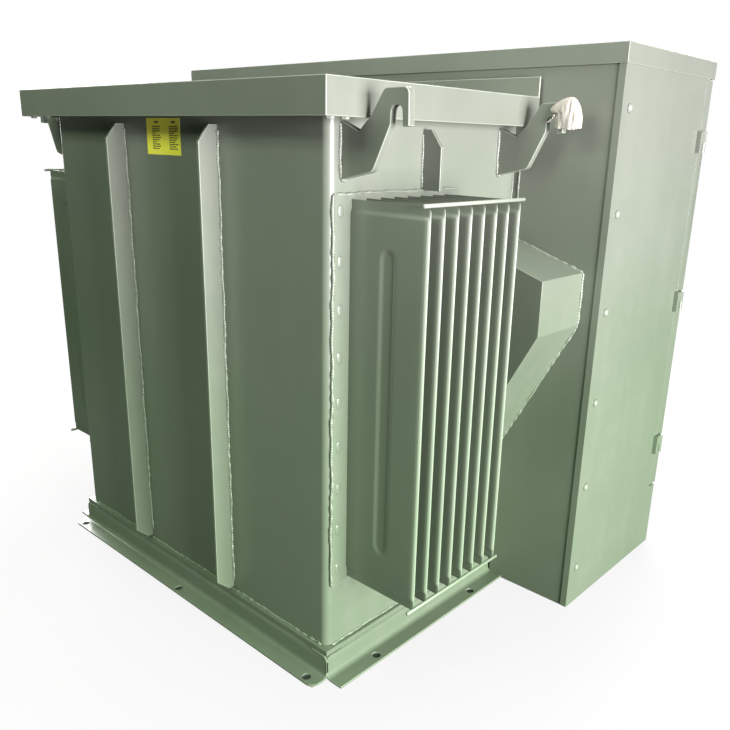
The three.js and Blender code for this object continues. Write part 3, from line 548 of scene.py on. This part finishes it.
def rail(node, ends, web_out, ledge_end, foot_out, holes, rounded, across):
    """The rail's middle surface. It is the section carried along the rail, then the flat foot, whose reach follows a
    quarter circle at a rounded end, with a ring of squares between each round hole and the square panel round it."""
    section = rail_section(web_out, ledge_end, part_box(node)[1][2])
    stops = [np.linspace(h - hole_panel, h + hole_panel, 9) for h, _ in holes]
    tips = [np.linspace(0, rounded, 9) + ends[0], ends[1] - np.linspace(0, rounded, 9)] if rounded else []
    along = np.unique(np.round(np.concatenate([*stops, *tips, np.array(ends, float)]), 6))
    flat = section[-1, 0]
    rows = [np.stack([along, np.full_like(along, o), np.full_like(along, z)], 1) for o, z in section]
    bent = np.stack(rows)
    reach = np.full_like(along, foot_out)
    if rounded:
        depth = np.clip(rounded - np.minimum(along - ends[0], ends[1] - along), 0, rounded)
        reach = foot_out - rounded + np.sqrt(rounded**2 - depth**2)
    t = np.linspace(0, 1, 9)[:, None]
    foot = np.stack(np.broadcast_arrays(along, flat + (reach - flat) * t, rail_sheet / 2), -1)
    points, faces, count = [bent, foot], [grid_faces(*bent.shape[:2])], bent[..., 0].size
    foot_faces = grid_faces(*foot.shape[:2])
    middles = foot.reshape(-1, 3)[foot_faces].mean(1)[:, 0]
    open_spans = [np.abs(middles - h) < hole_panel for h, _ in holes]
    faces.append(foot_faces[~np.any(open_spans, 0)] + count)
    count += foot[..., 0].size
    side = np.linspace(-1, 1, 9)[:-1]
    one = 0 * side + 1
    border = np.concatenate([np.stack(p, 1) for p in ((side, -one), (one, side), (-side, one), (-one, -side))])
    for hole, out in holes:
        square = np.stack([
            hole + border[:, 0] * hole_panel,
            (flat + foot_out) / 2 + border[:, 1] * (foot_out - flat) / 2,
        ], 1)
        angle = np.arctan2(square[:, 1] - out, square[:, 0] - hole)
        circle = np.stack([hole + hole_radius * np.cos(angle), out + hole_radius * np.sin(angle)], 1)
        ring = np.stack([circle, square])
        points.append(np.concatenate([ring, np.full((2, len(border), 1), rail_sheet / 2)], 2))
        faces.append(grid_faces(2, len(border), joined_columns=True) + count)
        count += 2 * len(border)
    points = np.concatenate([p.reshape(-1, 3) for p in points])
    if across != "back":
        points = points[:, (1, 0, 2)] * ((-1 if across == "left" else 1), 1, 1)
    piece = new_piece(f"{node}_bent", points, np.concatenate(faces).tolist(), tank_paint, "tank_paint", crease=40)
    plate = piece.modifiers.new("plate", "SOLIDIFY")
    plate.thickness = rail_sheet
    plate.offset = 0
    plate.use_even_offset = True
    # Its rounded edges take the lighter edge enamel, a painted highlight.
    piece.data.materials.append(tank_edge_highlight_paint)
    round_edges(piece, 0.0012, 2, 60, 1)
    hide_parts(node)
    return piece


low, high = np.array(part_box("base_rail_back"))
rail(
    "base_rail_back", (low[0], high[0]), high[1] - 0.054, low[1], high[1],
    [(x, high[1] - 0.019) for x in (-0.61, 0.0, 0.61)], 0.024, "back",
)
for side, sign in both_sides:
    low, high = np.array(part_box(f"base_rail_{side}"))
    inner, outer = sorted((abs(low[0]), abs(high[0])))
    rail(
        f"base_rail_{side}", (low[1], high[1]), outer - 0.055, inner, outer,
        [(y, outer - 0.023) for y in (0.0485, 0.5005)], 0, side,
    )

# ---- Radiators ----
# Each bank has eight hollow fins pressed from thin sheet. Two halves are seam welded round a flattened rim, with a
# long slot pressed in where they touch. The fins are welded to a header plate and tied by a bar across their tips.
fin_count, fin_pitch = 8, 0.05
fin_half, seam_half = 0.0062, 0.0016
fin_bottom, fin_top = 0.281, 1.273
end_rim, rim_slope = 0.019, 0.014
slot_out, slot_half, slot_low, slot_high, slot_depth = 0.122, 0.024, 0.396, 1.170, 0.0042
tip_round, nose_length = 0.012, 0.016
tie_bar = 0.0045


def eased(x):
    """0 below 0, 1 above 1, and between them 3 x squared less 2 x cubed."""
    x = np.clip(x, 0, 1)
    return x * x * (3 - 2 * x)


def fin_shape(root, reach):
    """Half the fin's thickness over its reach u and height z: the seam's thickness along the top and bottom rims,
    rising by an eased slope to the full thickness, less the slot, which is an eased step in the distance from a
    vertical line. All of it narrows over the nose as a quarter ellipse, and the nose's ends are quarter circles."""
    u = np.unique(np.concatenate([
        np.linspace(0, slot_out - slot_half - 0.006, 4),
        slot_out + np.linspace(-1, 1, 15) * (slot_half + 0.006),
        np.linspace(slot_out + slot_half + 0.006, reach - nose_length, 4),
        reach - nose_length + nose_length * np.sin(np.linspace(0, pi / 2, 12)),
    ]).round(7))
    height = fin_top - fin_bottom
    share = np.unique(np.concatenate([
        [0, height],
        end_rim + rim_slope * np.linspace(0, 1, 6),
        slot_low - fin_bottom + np.linspace(-0.006, 0.034, 9),
        np.linspace(slot_low - fin_bottom + 0.06, slot_high - fin_bottom - 0.06, 5),
        slot_high - fin_bottom + np.linspace(-0.034, 0.006, 9),
        height - end_rim - rim_slope * np.linspace(0, 1, 6),
    ]).round(6)) / height
    cut = tip_round - np.sqrt(np.clip(tip_round**2 - np.clip(u - (reach - tip_round), 0, tip_round) ** 2, 0, None))
    bottom, top = (fin_bottom + cut)[None, :], (fin_top - cut)[None, :]
    z = bottom + (top - bottom) * share[:, None]
    u = np.broadcast_to(u, z.shape)
    body = eased((np.minimum(z - fin_bottom, fin_top - z) - end_rim) / rim_slope)
    off_slot = np.hypot(u - slot_out, z - np.clip(z, slot_low + slot_half, slot_high - slot_half))
    slot = slot_depth * eased((slot_half - off_slot) / 0.009)
    nose = np.sqrt(np.clip(1 - (np.clip(u - (reach - nose_length), 0, None) / nose_length) ** 2, 0, 1))
    half = (seam_half + (fin_half - seam_half) * body - slot * body) * nose
    there_and_back = [np.concatenate([c, sign * c[:, -2::-1]], 1) for c, sign in ((u, 1), (-half, -1), (z, 1))]
    return np.stack([root + there_and_back[0], there_and_back[1], there_and_back[2]], -1)


def turned(profile, start, along, sides, beside=(0.31, 0.52, 0.8)):
    """A profile of (distance along the axis, radius) turned round it, with its faces. A radius of 0 closes to a
    point, and six sides make a hexagon. The first corner lies square to beside."""
    start, along = np.array(start, float), np.array(along, float)
    along /= np.linalg.norm(along)
    across = np.cross(along, beside if abs(along[2]) < 0.9 else (1, 0, 0))
    across /= np.linalg.norm(across)
    third = np.cross(along, across)
    turn = round_steps(sides)[None, :, None]
    steps, sizes = (np.array(profile, float)[:, i][:, None, None] for i in (0, 1))
    rings = start + steps * along + sizes * (np.cos(turn) * across + np.sin(turn) * third)
    return rings, tube_faces(len(profile), sides)


def together(shapes):
    """Several grids of points with their faces, as one array of points and one list of faces."""
    points, faces, count = [], [], 0
    for grid, grid_faces_of in shapes:
        flat = np.asarray(grid).reshape(-1, 3)
        points.append(flat)
        faces += [[i + count for i in face] for face in grid_faces_of]
        count += len(flat)
    return np.concatenate(points), faces


def pads(places, out, across, along, half_width, half_length, height):
    """Low oblong mounds, one at each place: a stretched circle's rings, smaller as they rise by a quarter circle."""
    out, across, along = (np.array(v, float) for v in (out, across, along))
    rise = np.linspace(0, pi / 2, 5)[:, None, None]
    turn = round_steps(16)[None, :, None]
    straight = np.sign(np.sin(turn).round(6)) * (half_length - half_width) * np.cos(rise) ** 0.2
    mound = (
        (np.sin(rise) * height - 0.0006) * out
        + np.cos(rise) * np.cos(turn) * half_width * across
        + (np.cos(rise) * np.sin(turn) * half_width + straight) * along
    )
    faces = tube_faces(rise.size, turn.size)
    return together([(mound + np.array(place, float), faces) for place in places])


radiator_low, radiator_high = np.array(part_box("radiator_left"))
header_sheet, header_border, bar_overhang = 0.006, 0.020, 0.022
header_out = -radiator_high[0] + header_sheet
fin_reach = -radiator_low[0] - 0.001 - header_out
last_fin = radiator_high[1] - 0.058
fin_places = last_fin - fin_pitch * np.arange(fin_count)
header_welds = np.linspace(1.247, 0.316, 9)
for side, sign in both_sides:
    fin = fin_shape(header_out - 0.002, fin_reach + 0.002)
    fin_faces = tube_faces(*fin.shape[:2])
    fins = together([((fin + (0, y, 0)) * (sign, 1, 1), fin_faces) for y in fin_places])
    bank = new_piece(f"radiator_{side}_fins", *fins, tank_paint, "tank_paint", crease=50)
    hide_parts(f"radiator_{side}")
    # The fins' noses take the lighter edge enamel, a painted highlight along them.
    bank.data.materials.append(tank_edge_highlight_paint)
    middles = np.empty(3 * len(bank.data.polygons))
    bank.data.polygons.foreach_get("center", middles)
    highlighted_tip = np.abs(middles[::3]) > header_out + fin_reach - 0.006
    bank.data.polygons.foreach_set("material_index", highlighted_tip.astype(np.int32))

    # The header plate, its fillets, and the plug welds that hold it to the wall down both borders.
    t = np.array([0, 0.0012, 0.0048, header_sheet])[:, None]
    inset = np.array([0.0, 0.0, 0.0, 0.0012])[:, None]
    y0, y1, z0, z1 = radiator_low[1], radiator_high[1], radiator_low[2], radiator_high[2]
    corner_y = np.array([y0, y1, y1, y0])[None] + inset * np.array([1, -1, -1, 1])
    corner_z = np.array([z0, z0, z1, z1])[None] + inset * np.array([1, 1, -1, -1])
    plate = np.stack(np.broadcast_arrays(sign * (header_out - header_sheet + t), corner_y, corner_z), -1)
    new_piece(f"radiator_{side}_header", plate, tube_faces(*plate.shape[:2]), tank_paint, "tank_paint")
    spots = [(sign * header_out, y, z) for y in (y1 - header_border, y0 + header_border) for z in header_welds]
    mounds = pads(spots, (sign, 0, 0), (0, 1, 0), (0, 0, 1), 0.0095, 0.0165, 0.0034)
    new_piece(f"radiator_{side}_plug_welds", *mounds, tank_paint, "tank_paint", crease=70)
    x = sign * (header_out - 0.004)
    for index, (label, start, end, out) in enumerate((
        ("top", (x, y0, z1), (x, y1, z1), (sign, 0, 1)),
        ("bottom", (x, y0, z0), (x, y1, z0), (sign, 0, -1)),
        ("back", (x, y1, z0), (x, y1, z1), (sign, 1, 0)),
        ("front", (x, y0, z0), (x, y0, z1), (sign, -1, 0)),
    )):
        weld(f"radiator_{side}_weld_{label}", start, end, out, 0.0038, seed=index + sign)
    tip = sign * (header_out + fin_reach - tie_bar)
    ends = fin_places[-1] - bar_overhang, fin_places[0] + bar_overhang
    length, inset = ends[1] - ends[0], tie_bar * 0.25
    bar = [(0, tie_bar - inset), (inset, tie_bar), (length - inset, tie_bar), (length, tie_bar - inset)]
    bars = [
        turned(bar, (tip, ends[0], z), (0, 1, 0), 14, (0.3, 0.5, 0.81))
        for z in (fin_bottom - 0.001, fin_top + 0.001)
    ]
    # The tie bars are wholly in the lighter edge enamel, a painted highlight.
    new_piece(f"radiator_{side}_tie_bars", *together(bars), tank_edge_highlight_paint, "tank_paint", crease=50)

# ---- Label ----
# A yellow vinyl label in two columns on the back wall, beside the left rib, with plain bars for its lines of print.
label_left, label_right, label_low, label_high = -0.065, 0.100, 1.351, 1.448
vinyl, vinyl_place = new_finish("label_vinyl", Roughness=0.32, Coat_Weight=0.3)
fade = vinyl_place.noise(30.0, 3.0)
varies(
    vinyl,
    Base_Color=fade.mixed((0.92, 0.86, 0.06), (0.96, 0.91, 0.12)),
    Height=vinyl_place.noise(60.0, 1.0) * 0.0003,
)
print_ink, print_place = new_finish("label_print", Roughness=0.5)
varies(print_ink, Base_Color=print_place.noise(900.0, 1.0).mixed((0.01, 0.01, 0.01), (0.07, 0.065, 0.03)))


def flat_plate(x0, x1, y, thick, z0, z1):
    """A thin plate on a wall that faces back, with its faces: its outline, then the same a little inside it."""
    edge = min(thick, 0.0004) * 0.7
    x = np.array([[x0, x1, x1, x0], [x0 + edge, x1 - edge, x1 - edge, x0 + edge]])
    z = np.array([[z0, z0, z1, z1], [z0 + edge, z0 + edge, z1 - edge, z1 - edge]])
    return np.stack([x, np.array([[y], [y + thick]]) + 0 * x, z], -1), tube_faces(2, 4)


print_face = wall_back + 0.0005 - 0.0001
label = flat_plate(label_left, label_right, wall_back - 0.0003, 0.0008, label_low, label_high)
new_piece("label_plate", *label, vinyl, "dial")
bars = []
draw = np.random.default_rng(4)
column_width = (label_right - label_left) / 2
print_width, word_gap, line_pitch, letter_height = 0.046, 0.0015, 0.0058, 0.0031
for column in range(2):
    x0 = label_left + column * column_width + 0.008
    # the column's heading, then its lines, of which every fourth ends a paragraph
    bars.append((x0 + 0.014, x0 + 0.034, label_high - 0.013, label_high - 0.008))
    for line in range(11):
        z = label_high - 0.024 - line * line_pitch
        length = draw.uniform(0.030, 0.044) if line % 4 != 3 else draw.uniform(0.014, 0.028)
        # the words run from the reader's left, which is the greater x on a wall that faces back
        word = length * draw.uniform(0.35, 0.65)
        line_start = x0 + print_width
        bars.append((line_start - word, line_start, z, z + letter_height))
        bars.append((line_start - length, line_start - word_gap - word, z, z + letter_height))
shapes = [flat_plate(a, b, print_face, 0.0002, c, d) for a, b, c, d in bars if b > a]
new_piece("label_lines", *together(shapes), print_ink, "dial")

# ---- Lid clamps ----
# Hexagon bolts come up under the lid's rim and draw it down on the gasket, near the hooks and at the rear corners.
zinc, zinc_place = new_finish("zinc_plate", Metallic=1.0)
zinc_cloud = zinc_place.noise(55.0, 4.0, 0.6)
varies(
    zinc,
    Base_Color=zinc_cloud.mixed((0.52, 0.52, 0.49), (0.68, 0.68, 0.66)),
    Roughness=zinc_cloud * 0.25 + 0.28,
    Height=zinc_place.noise(500.0, 2.0) * 0.00002,
)


def hexagon_bolt(start, along, size):
    """A washer and a hexagon head with its corners turned off, standing along the axis from start."""
    washer = [(-0.001, 0), (-0.001, size), (size * 0.16, size), (size * 0.2, size * 0.94), (size * 0.2, 0)]
    head = [(0, 0), (0, size * 0.86), (size * 0.72, size * 0.86), (size * 0.82, size * 0.7), (size * 0.82, 0)]
    return [turned(washer, start, along, 20), turned(head, start, along, 6)]


rim_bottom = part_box("tank_lid")[0][2]
clamp_places = [(0.700, -0.058), (0.700, -0.066), (0.690, 0.700), (0.690, 0.655)]
clamp_size = 0.0115
clamps = []
for sign in (-1, 1):
    for x, y in clamp_places:
        clamps += hexagon_bolt((sign * x, y, rim_bottom + 0.004), (0, 0, -1), clamp_size)
# The bolts are painted in the lighter edge enamel, a painted highlight.
new_piece("lid_clamp_bolts", *together(clamps), tank_edge_highlight_paint, "tank_paint", crease=35)

# ---- Cabinet ----
# The terminal cabinet is 3 mm sheet, folded at every edge and powder coated: a back, two sides that wrap round it, a
# roof with its rim turned down, a header over the doors, a removable sill and a barrier between the two sides.
cabinet_green = np.array((0.160, 0.180, 0.147))
cabinet_paint = enamel("cabinet_enamel", cabinet_green, 0.34, 0.0006, 0.00001)
# A lighter copy for the cabinet's rounded edges, screws and hinges: a painted highlight.
cabinet_edge_highlight_paint = enamel("cabinet_enamel_painted_edge_highlights", 1.3 * cabinet_green + 0.03, 0.4)
cabinet_sheets = (
    "cabinet_back", "cabinet_side_left", "cabinet_side_right", "door_header", "front_sill", "centre_barrier",
)
for node in cabinet_sheets:
    softened(node, cabinet_paint, 0.0012, cabinet_edge_highlight_paint)
softened("cabinet_roof", cabinet_paint, 0.0026, cabinet_edge_highlight_paint, segments=3)


def dome_screw(start, along, radius):
    """A washer-faced dome head: a thin rim, then a curve that closes as the root of 1 minus the square."""
    rise = np.linspace(0, 1, 6)
    dome = [(0.0012 + radius * 0.5 * k, radius * 0.86 * float(np.sqrt(1 - k**2))) for k in rise]
    return turned([(-0.001, 0), (-0.001, radius), (0.0012, radius), *dome], start, along, 20)


side_low, side_high = np.array(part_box("cabinet_side_left"))
screw_line = side_high[1] - 0.0435
washer = [(-0.001, 0), (-0.001, 0.0128), (0.0007, 0.0125), (0.0007, 0)]
screw_heights = (1.501, 1.226, 0.951, 0.678, 0.405, 0.127)
for side, sign in both_sides:
    face = -side_low[0] * sign
    places = [(face, screw_line, z) for z in screw_heights]
    # The dome heads are in the lighter edge enamel, a painted highlight.
    screws = [dome_screw(place, (sign, 0, 0), 0.0112) for place in places]
    new_piece(f"cabinet_screws_{side}", *together(screws), cabinet_edge_highlight_paint, "cabinet_paint", crease=40)
    # Each head sits on a thin dark rubber washer a little wider than itself. Its dark rim is also painted shade round
    # the head.
    rings = [turned(washer, place, (sign, 0, 0), 24) for place in places]
    new_piece(f"cabinet_screw_washers_and_shade_rings_{side}", *together(rings), rubber, "gasket", crease=40)
sill_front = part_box("front_sill")[0][1]
sill_places = [(x, sill_front, z) for x in (-0.915, -0.46, 0.0, 0.46, 0.915) for z in (0.040, 0.195)]
sill_screws = [dome_screw(place, (0, -1, 0), 0.0062) for place in sill_places]
new_piece("sill_screws", *together(sill_screws), zinc, "zinc", crease=40)

# The cabinet is seam sealed to the tank round the front plate, down both sides.
front_plate_half = 0.657
for side, sign in both_sides:
    x = sign * front_plate_half
    foot, head = (x, wall_low[1], 0.10), (x, wall_low[1], 1.44)
    weld(f"front_plate_seal_{side}", foot, head, (sign, 1, 0), 0.003, 0.009, finish=tank_paint, seed=sign + 6)

# ---- Hinges ----
# Three welded barrel hinges a side: a leaf on the cabinet, a barrel split between cabinet and door, and a pin whose
# rounded top stands a little out of it.
pin_x, pin_y = 0.962, -0.6765
pin_end = [(-0.002, 0), (-0.002, 0.0042), (0.0012, 0.0042), (0.0022, 0.003), (0.0026, 0)]
for side, sign in both_sides:
    for number in (1, 2, 3):
        node = f"hinge_{side}_{number}"
        softened(node, cabinet_paint, 0.0014, cabinet_edge_highlight_paint)
        pin_top = (sign * pin_x, pin_y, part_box(node)[1][2])
        new_piece(f"{node}_pin_end", *turned(pin_end, pin_top, (0, 0, 1), 14), zinc, "zinc", crease=50)

# ---- Doors ----
# Two folded pans of the same sheet, each with a hat-section stiffener inside. The right one carries the latch and is
# held by a five-sided security bolt; a blank data plate is riveted inside the left one.
door_front = -0.7075
inner = door_front + 0.003
channel_x, channel_low, channel_high = 0.52, 0.30, 1.55
half_hat = [(0.021, 0.018), (0.024, 0.002), (0.045, 0.002), (0.045, 0)]
hat = np.array([(-x, y) for x, y in half_hat[::-1]] + half_hat)
for side, sign in both_sides:
    body = f"door_{side}"
    softened(body, cabinet_paint, 0.0014, cabinet_edge_highlight_paint, body=body)
    z = np.array([channel_low, channel_high])[:, None]
    middle = sign * channel_x
    channel = np.stack(np.broadcast_arrays(middle + hat[None, :, 0], inner + hat[None, :, 1], z), -1)
    stiffener = new_piece(
        f"door_{side}_stiffener", channel, tube_faces(2, 8), cabinet_paint, "cabinet_paint", body=body
    )
    round_edges(stiffener, 0.0009, 2, 30)
    spots = [(middle + dx, inner + 0.002, z) for dx in (-0.035, 0.035) for z in np.linspace(0.33, 1.52, 9)]
    dots = pads(spots, (0, 1, 0), (1, 0, 0), (0, 0, 1), 0.004, 0.0041, 0.0006)
    new_piece(f"door_{side}_spot_welds", *dots, cabinet_paint, "cabinet_paint", body=body, crease=70)

data_plate, data_place = new_finish("data_plate_aluminium", Metallic=1.0)
brush = data_place.noise(900.0, 2.0, 0.5, (40, 1, 1))
varies(
    data_plate,
    Base_Color=brush.mixed((0.70, 0.71, 0.72), (0.86, 0.86, 0.86)),
    Roughness=brush * 0.2 + 0.28,
    Height=brush * 0.00001,
)
plate_shape = flat_plate(-0.36, -0.19, inner - 0.0002, 0.0012, 1.10, 1.22)
new_piece("data_plate", *plate_shape, data_plate, "zinc", body="door_left")
rivets = [dome_screw((x, inner + 0.001, z), (0, 1, 0), 0.0032) for x in (-0.353, -0.197) for z in (1.107, 1.213)]
rule_lines = np.linspace(1.118, 1.202, 7)
rules = [flat_plate(-0.35, -0.20, inner + 0.0009, 0.0003, z, z + 0.0006) for z in rule_lines]
new_piece("data_plate_rivets", *together(rivets), zinc, "zinc", body="door_left", crease=50)
new_piece("data_plate_rules", *together(rules), print_ink, "zinc", body="door_left")

bolt_place = (0.034, door_front, 0.84)
bolt_cup = [(-0.001, 0), (-0.001, 0.021), (0.004, 0.021), (0.010, 0.018)]
bolt_cup += [(0.010, 0.0125), (0.004, 0.0125), (0.004, 0)]
bolt_head = [(0.001, 0), (0.001, 0.0095), (0.0085, 0.0095), (0.0095, 0.0085), (0.0095, 0)]
security_bolt = [turned(bolt_cup, bolt_place, (0, -1, 0), 32), turned(bolt_head, bolt_place, (0, -1, 0), 5)]
new_piece("security_bolt", *together(security_bolt), zinc, "zinc", body="door_right", crease=40)

softened("door_handle", zinc, 0.0016, body="latch_handle", segments=3)
softened("latch_rod_upper", zinc, 0.0008, body="rod_upper")
softened("latch_rod_lower", zinc, 0.0008, body="rod_lower")

# ---- High-voltage side ----
# Moulded grey epoxy bushing wells and draw-out fuse holders, the load-break switch in plated steel and the tap
# changer in brass, all on the front plate.
epoxy, epoxy_place = new_finish("moulded_epoxy", Coat_Weight=0.2, Coat_Roughness=0.3)
grain = epoxy_place.noise(120.0, 4.0, 0.6)
varies(
    epoxy,
    Base_Color=grain.mixed((0.085, 0.095, 0.105), (0.13, 0.14, 0.148)),
    Roughness=grain * 0.2 + 0.32,
    Height=epoxy_place.noise(900.0, 2.0) * 0.00002,
)
brass, brass_place = new_finish("machined_brass", Metallic=1.0)
tarnish = brass_place.noise(38.0, 4.0, 0.6)
varies(
    brass,
    Base_Color=tarnish.mixed((0.66, 0.47, 0.17), (0.43, 0.29, 0.12)),
    Roughness=tarnish * 0.25 + 0.22,
    Height=brass_place.noise(600.0, 2.0, 0.5, (1, 8, 1)) * 0.000015,
)
for number in (1, 2, 3):
    softened(f"hv_bushing_{number}", epoxy, 0.0014)
    softened(f"fuse_holder_{number}", epoxy, 0.0014, body=f"fuse_{number}")
softened("switch_handle", zinc, 0.0016, body="switch", segments=3)
tap = softened("tap_handle", brass, 0.0014, body="tap_changer", segments=3)
# Its spindle is thinner than the plain solid's, so that its fillet stays clear of the round hole as it turns.
spindle_reach, thinning = 0.0095, 0.16
plate_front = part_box("tank_front_plate")[0][1]
corners = np.empty(len(tap.data.vertices) * 3)
tap.data.vertices.foreach_get("co", corners)
corners = corners.reshape(-1, 3)
off_axis = (corners - np.mean(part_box("tap_handle"), 0)) * (1, 0, 1)
on_spindle = (np.linalg.norm(off_axis, axis=1) < spindle_reach) & (corners[:, 1] > plate_front - 0.002)
tap.data.vertices.foreach_set("co", (corners - thinning * off_axis * on_spindle[:, None]).ravel())
hv_places = [(x, 1.01) for x in (-0.52, -0.37, -0.22)]
cap = [(0, 0), (0, 0.0145), (0.004, 0.0155), (0.012, 0.0155), (0.014, 0.013), (0.014, 0)]
hv_front = -0.2197
hv_caps = [turned(cap, (x, hv_front, z), (0, -1, 0), 24) for x, z in hv_places]
new_piece("hv_bushing_caps", *together(hv_caps), rubber, "gasket", crease=40)

# ---- Low-voltage side ----
# Four tinned copper spades with six holes each, held in epoxy bodies, and beside them the oil gauge, the pressure
# relief valve with its pull ring, and the drain valve with its wheel.
tinned, tinned_place = new_finish("tinned_spade_and_epoxy")
body_front, dial_front = -0.1730, -0.1445
is_spade = tinned_place.axis(1).between(body_front, body_front - 0.0008)
tin_cloud = tinned_place.noise(60.0, 4.0, 0.6)
tin = tin_cloud.mixed((0.60, 0.59, 0.56), (0.76, 0.75, 0.71))
body_grey = tin_cloud.mixed((0.085, 0.095, 0.105), (0.13, 0.14, 0.148))
varies(
    tinned,
    Base_Color=is_spade.mixed(body_grey, tin),
    Metallic=is_spade,
    Roughness=tin_cloud * 0.2 + 0.27,
    Height=tinned_place.noise(500.0, 2.0) * 0.00002,
)
for number in range(4):
    softened(f"lv_bushing_{number}", tinned, 0.001)
softened("relief_valve", brass, 0.001)
softened("drain_valve", brass, 0.0014)
softened("drain_wheel", zinc, 0.0008, body="drain_wheel")
softened("relief_ring", zinc, 0.0004, body="relief_ring")

dial_face, dial_place = new_finish("dial_enamel", Coat_Weight=1.0, Coat_Roughness=0.05, Roughness=0.4)
on_front = dial_place.axis(1).between(dial_front, dial_front - 0.0004)
case = dial_place.noise(80.0, 2.0).mixed((0.03, 0.03, 0.032), (0.06, 0.06, 0.062))
dial_ripple = dial_place.noise(300.0, 1.0) * 0.00002
varies(dial_face, Base_Color=on_front.mixed(case, (0.82, 0.82, 0.78)), Height=dial_ripple)
softened("level_gauge", dial_face, 0.001)
gauge_middle = np.array((0.52, -0.1456, 1.27))
marks = []
for step in np.linspace(-120, 120, 13):
    way = np.array((np.sin(radians(step)), 0, np.cos(radians(step))))
    beside = np.array((way[2], 0, -way[0])) * 0.0008
    start, end = gauge_middle + way * 0.031, gauge_middle + way * (0.040 if round(step) % 60 == 0 else 0.037)
    ring = np.array([start - beside, start + beside, end + beside, end - beside])
    marks.append((np.stack([ring, ring - (0, 0.0004, 0)]), tube_faces(2, 4)))
pointer_way = np.array((-0.35, 0, 0.94))
pointer_side = np.array((0.94, 0, 0.35)) * 0.002
pointer_tail, pointer_tip = gauge_middle - pointer_way * 0.01, gauge_middle + pointer_way * 0.03
pointer = np.array([
    pointer_tail - pointer_side, pointer_tail + pointer_side,
    pointer_tip + pointer_side * 0.2, pointer_tip - pointer_side * 0.2,
])
marks.append((np.stack([pointer, pointer - (0, 0.001, 0)]), tube_faces(2, 4)))
marks.append(turned([(0, 0), (0, 0.004), (0.0014, 0.0034), (0.0014, 0)], gauge_middle, (0, -1, 0), 16))
new_piece("level_gauge_marks", *together(marks), print_ink, "dial")

pad = [(-0.001, 0), (-0.001, 0.019), (0.009, 0.019), (0.010, 0.018), (0.010, 0.007), (0.002, 0.007), (0.002, 0)]
pad_root, pad_height = -0.1113, 0.17
ground_pads = [turned(pad, (x, pad_root, pad_height), (0, -1, 0), 28) for x in (-0.55, -0.30, 0.30)]
new_piece("ground_pads", *together(ground_pads), zinc, "zinc", crease=40)
flange_front = -0.1218
flange_bolts = []
lv_places = [(0.13, 0.96), (0.27, 0.90), (0.41, 0.96), (0.55, 0.90)]
for circle, places in ((0.047, hv_places), (0.043, lv_places)):
    for x, z in places:
        for turn in round_steps(4) + pi / 4:
            place = (x + circle * np.cos(turn), flange_front, z + circle * np.sin(turn))
            flange_bolts += hexagon_bolt(place, (0, -1, 0), 0.006)
new_piece("bushing_flange_bolts", *together(flange_bolts), zinc, "zinc", crease=35)

# ---- Core and coils ----
# A stacked core of thin oriented steel, and three windings under wrapped insulating paper, inside the tank.
core_steel, core_place = new_finish("laminated_steel", Metallic=1.0)
sheets = core_place.bands("Y", 190.0, 0.6)
varies(
    core_steel,
    Base_Color=core_place.noise(9.0, 4.0).mixed((0.20, 0.21, 0.23), (0.36, 0.37, 0.39)),
    Roughness=core_place.noise(30.0, 3.0) * 0.2 + 0.35,
    Height=sheets * 0.0001,
)
paper, paper_place = new_finish("winding_paper")
laps = paper_place.bands("Z", 12.0, 1.5)
varies(
    paper,
    Base_Color=laps.mixed((0.52, 0.37, 0.20), (0.62, 0.46, 0.27)),
    Roughness=paper_place.noise(50.0, 3.0) * 0.2 + 0.6,
    Height=laps * 0.0008 + paper_place.noise(300.0, 3.0) * 0.0002,
)
softened("core", core_steel, 0.002)
for place in ("left", "middle", "right"):
    softened(f"coil_{place}", paper, 0.012, segments=4)
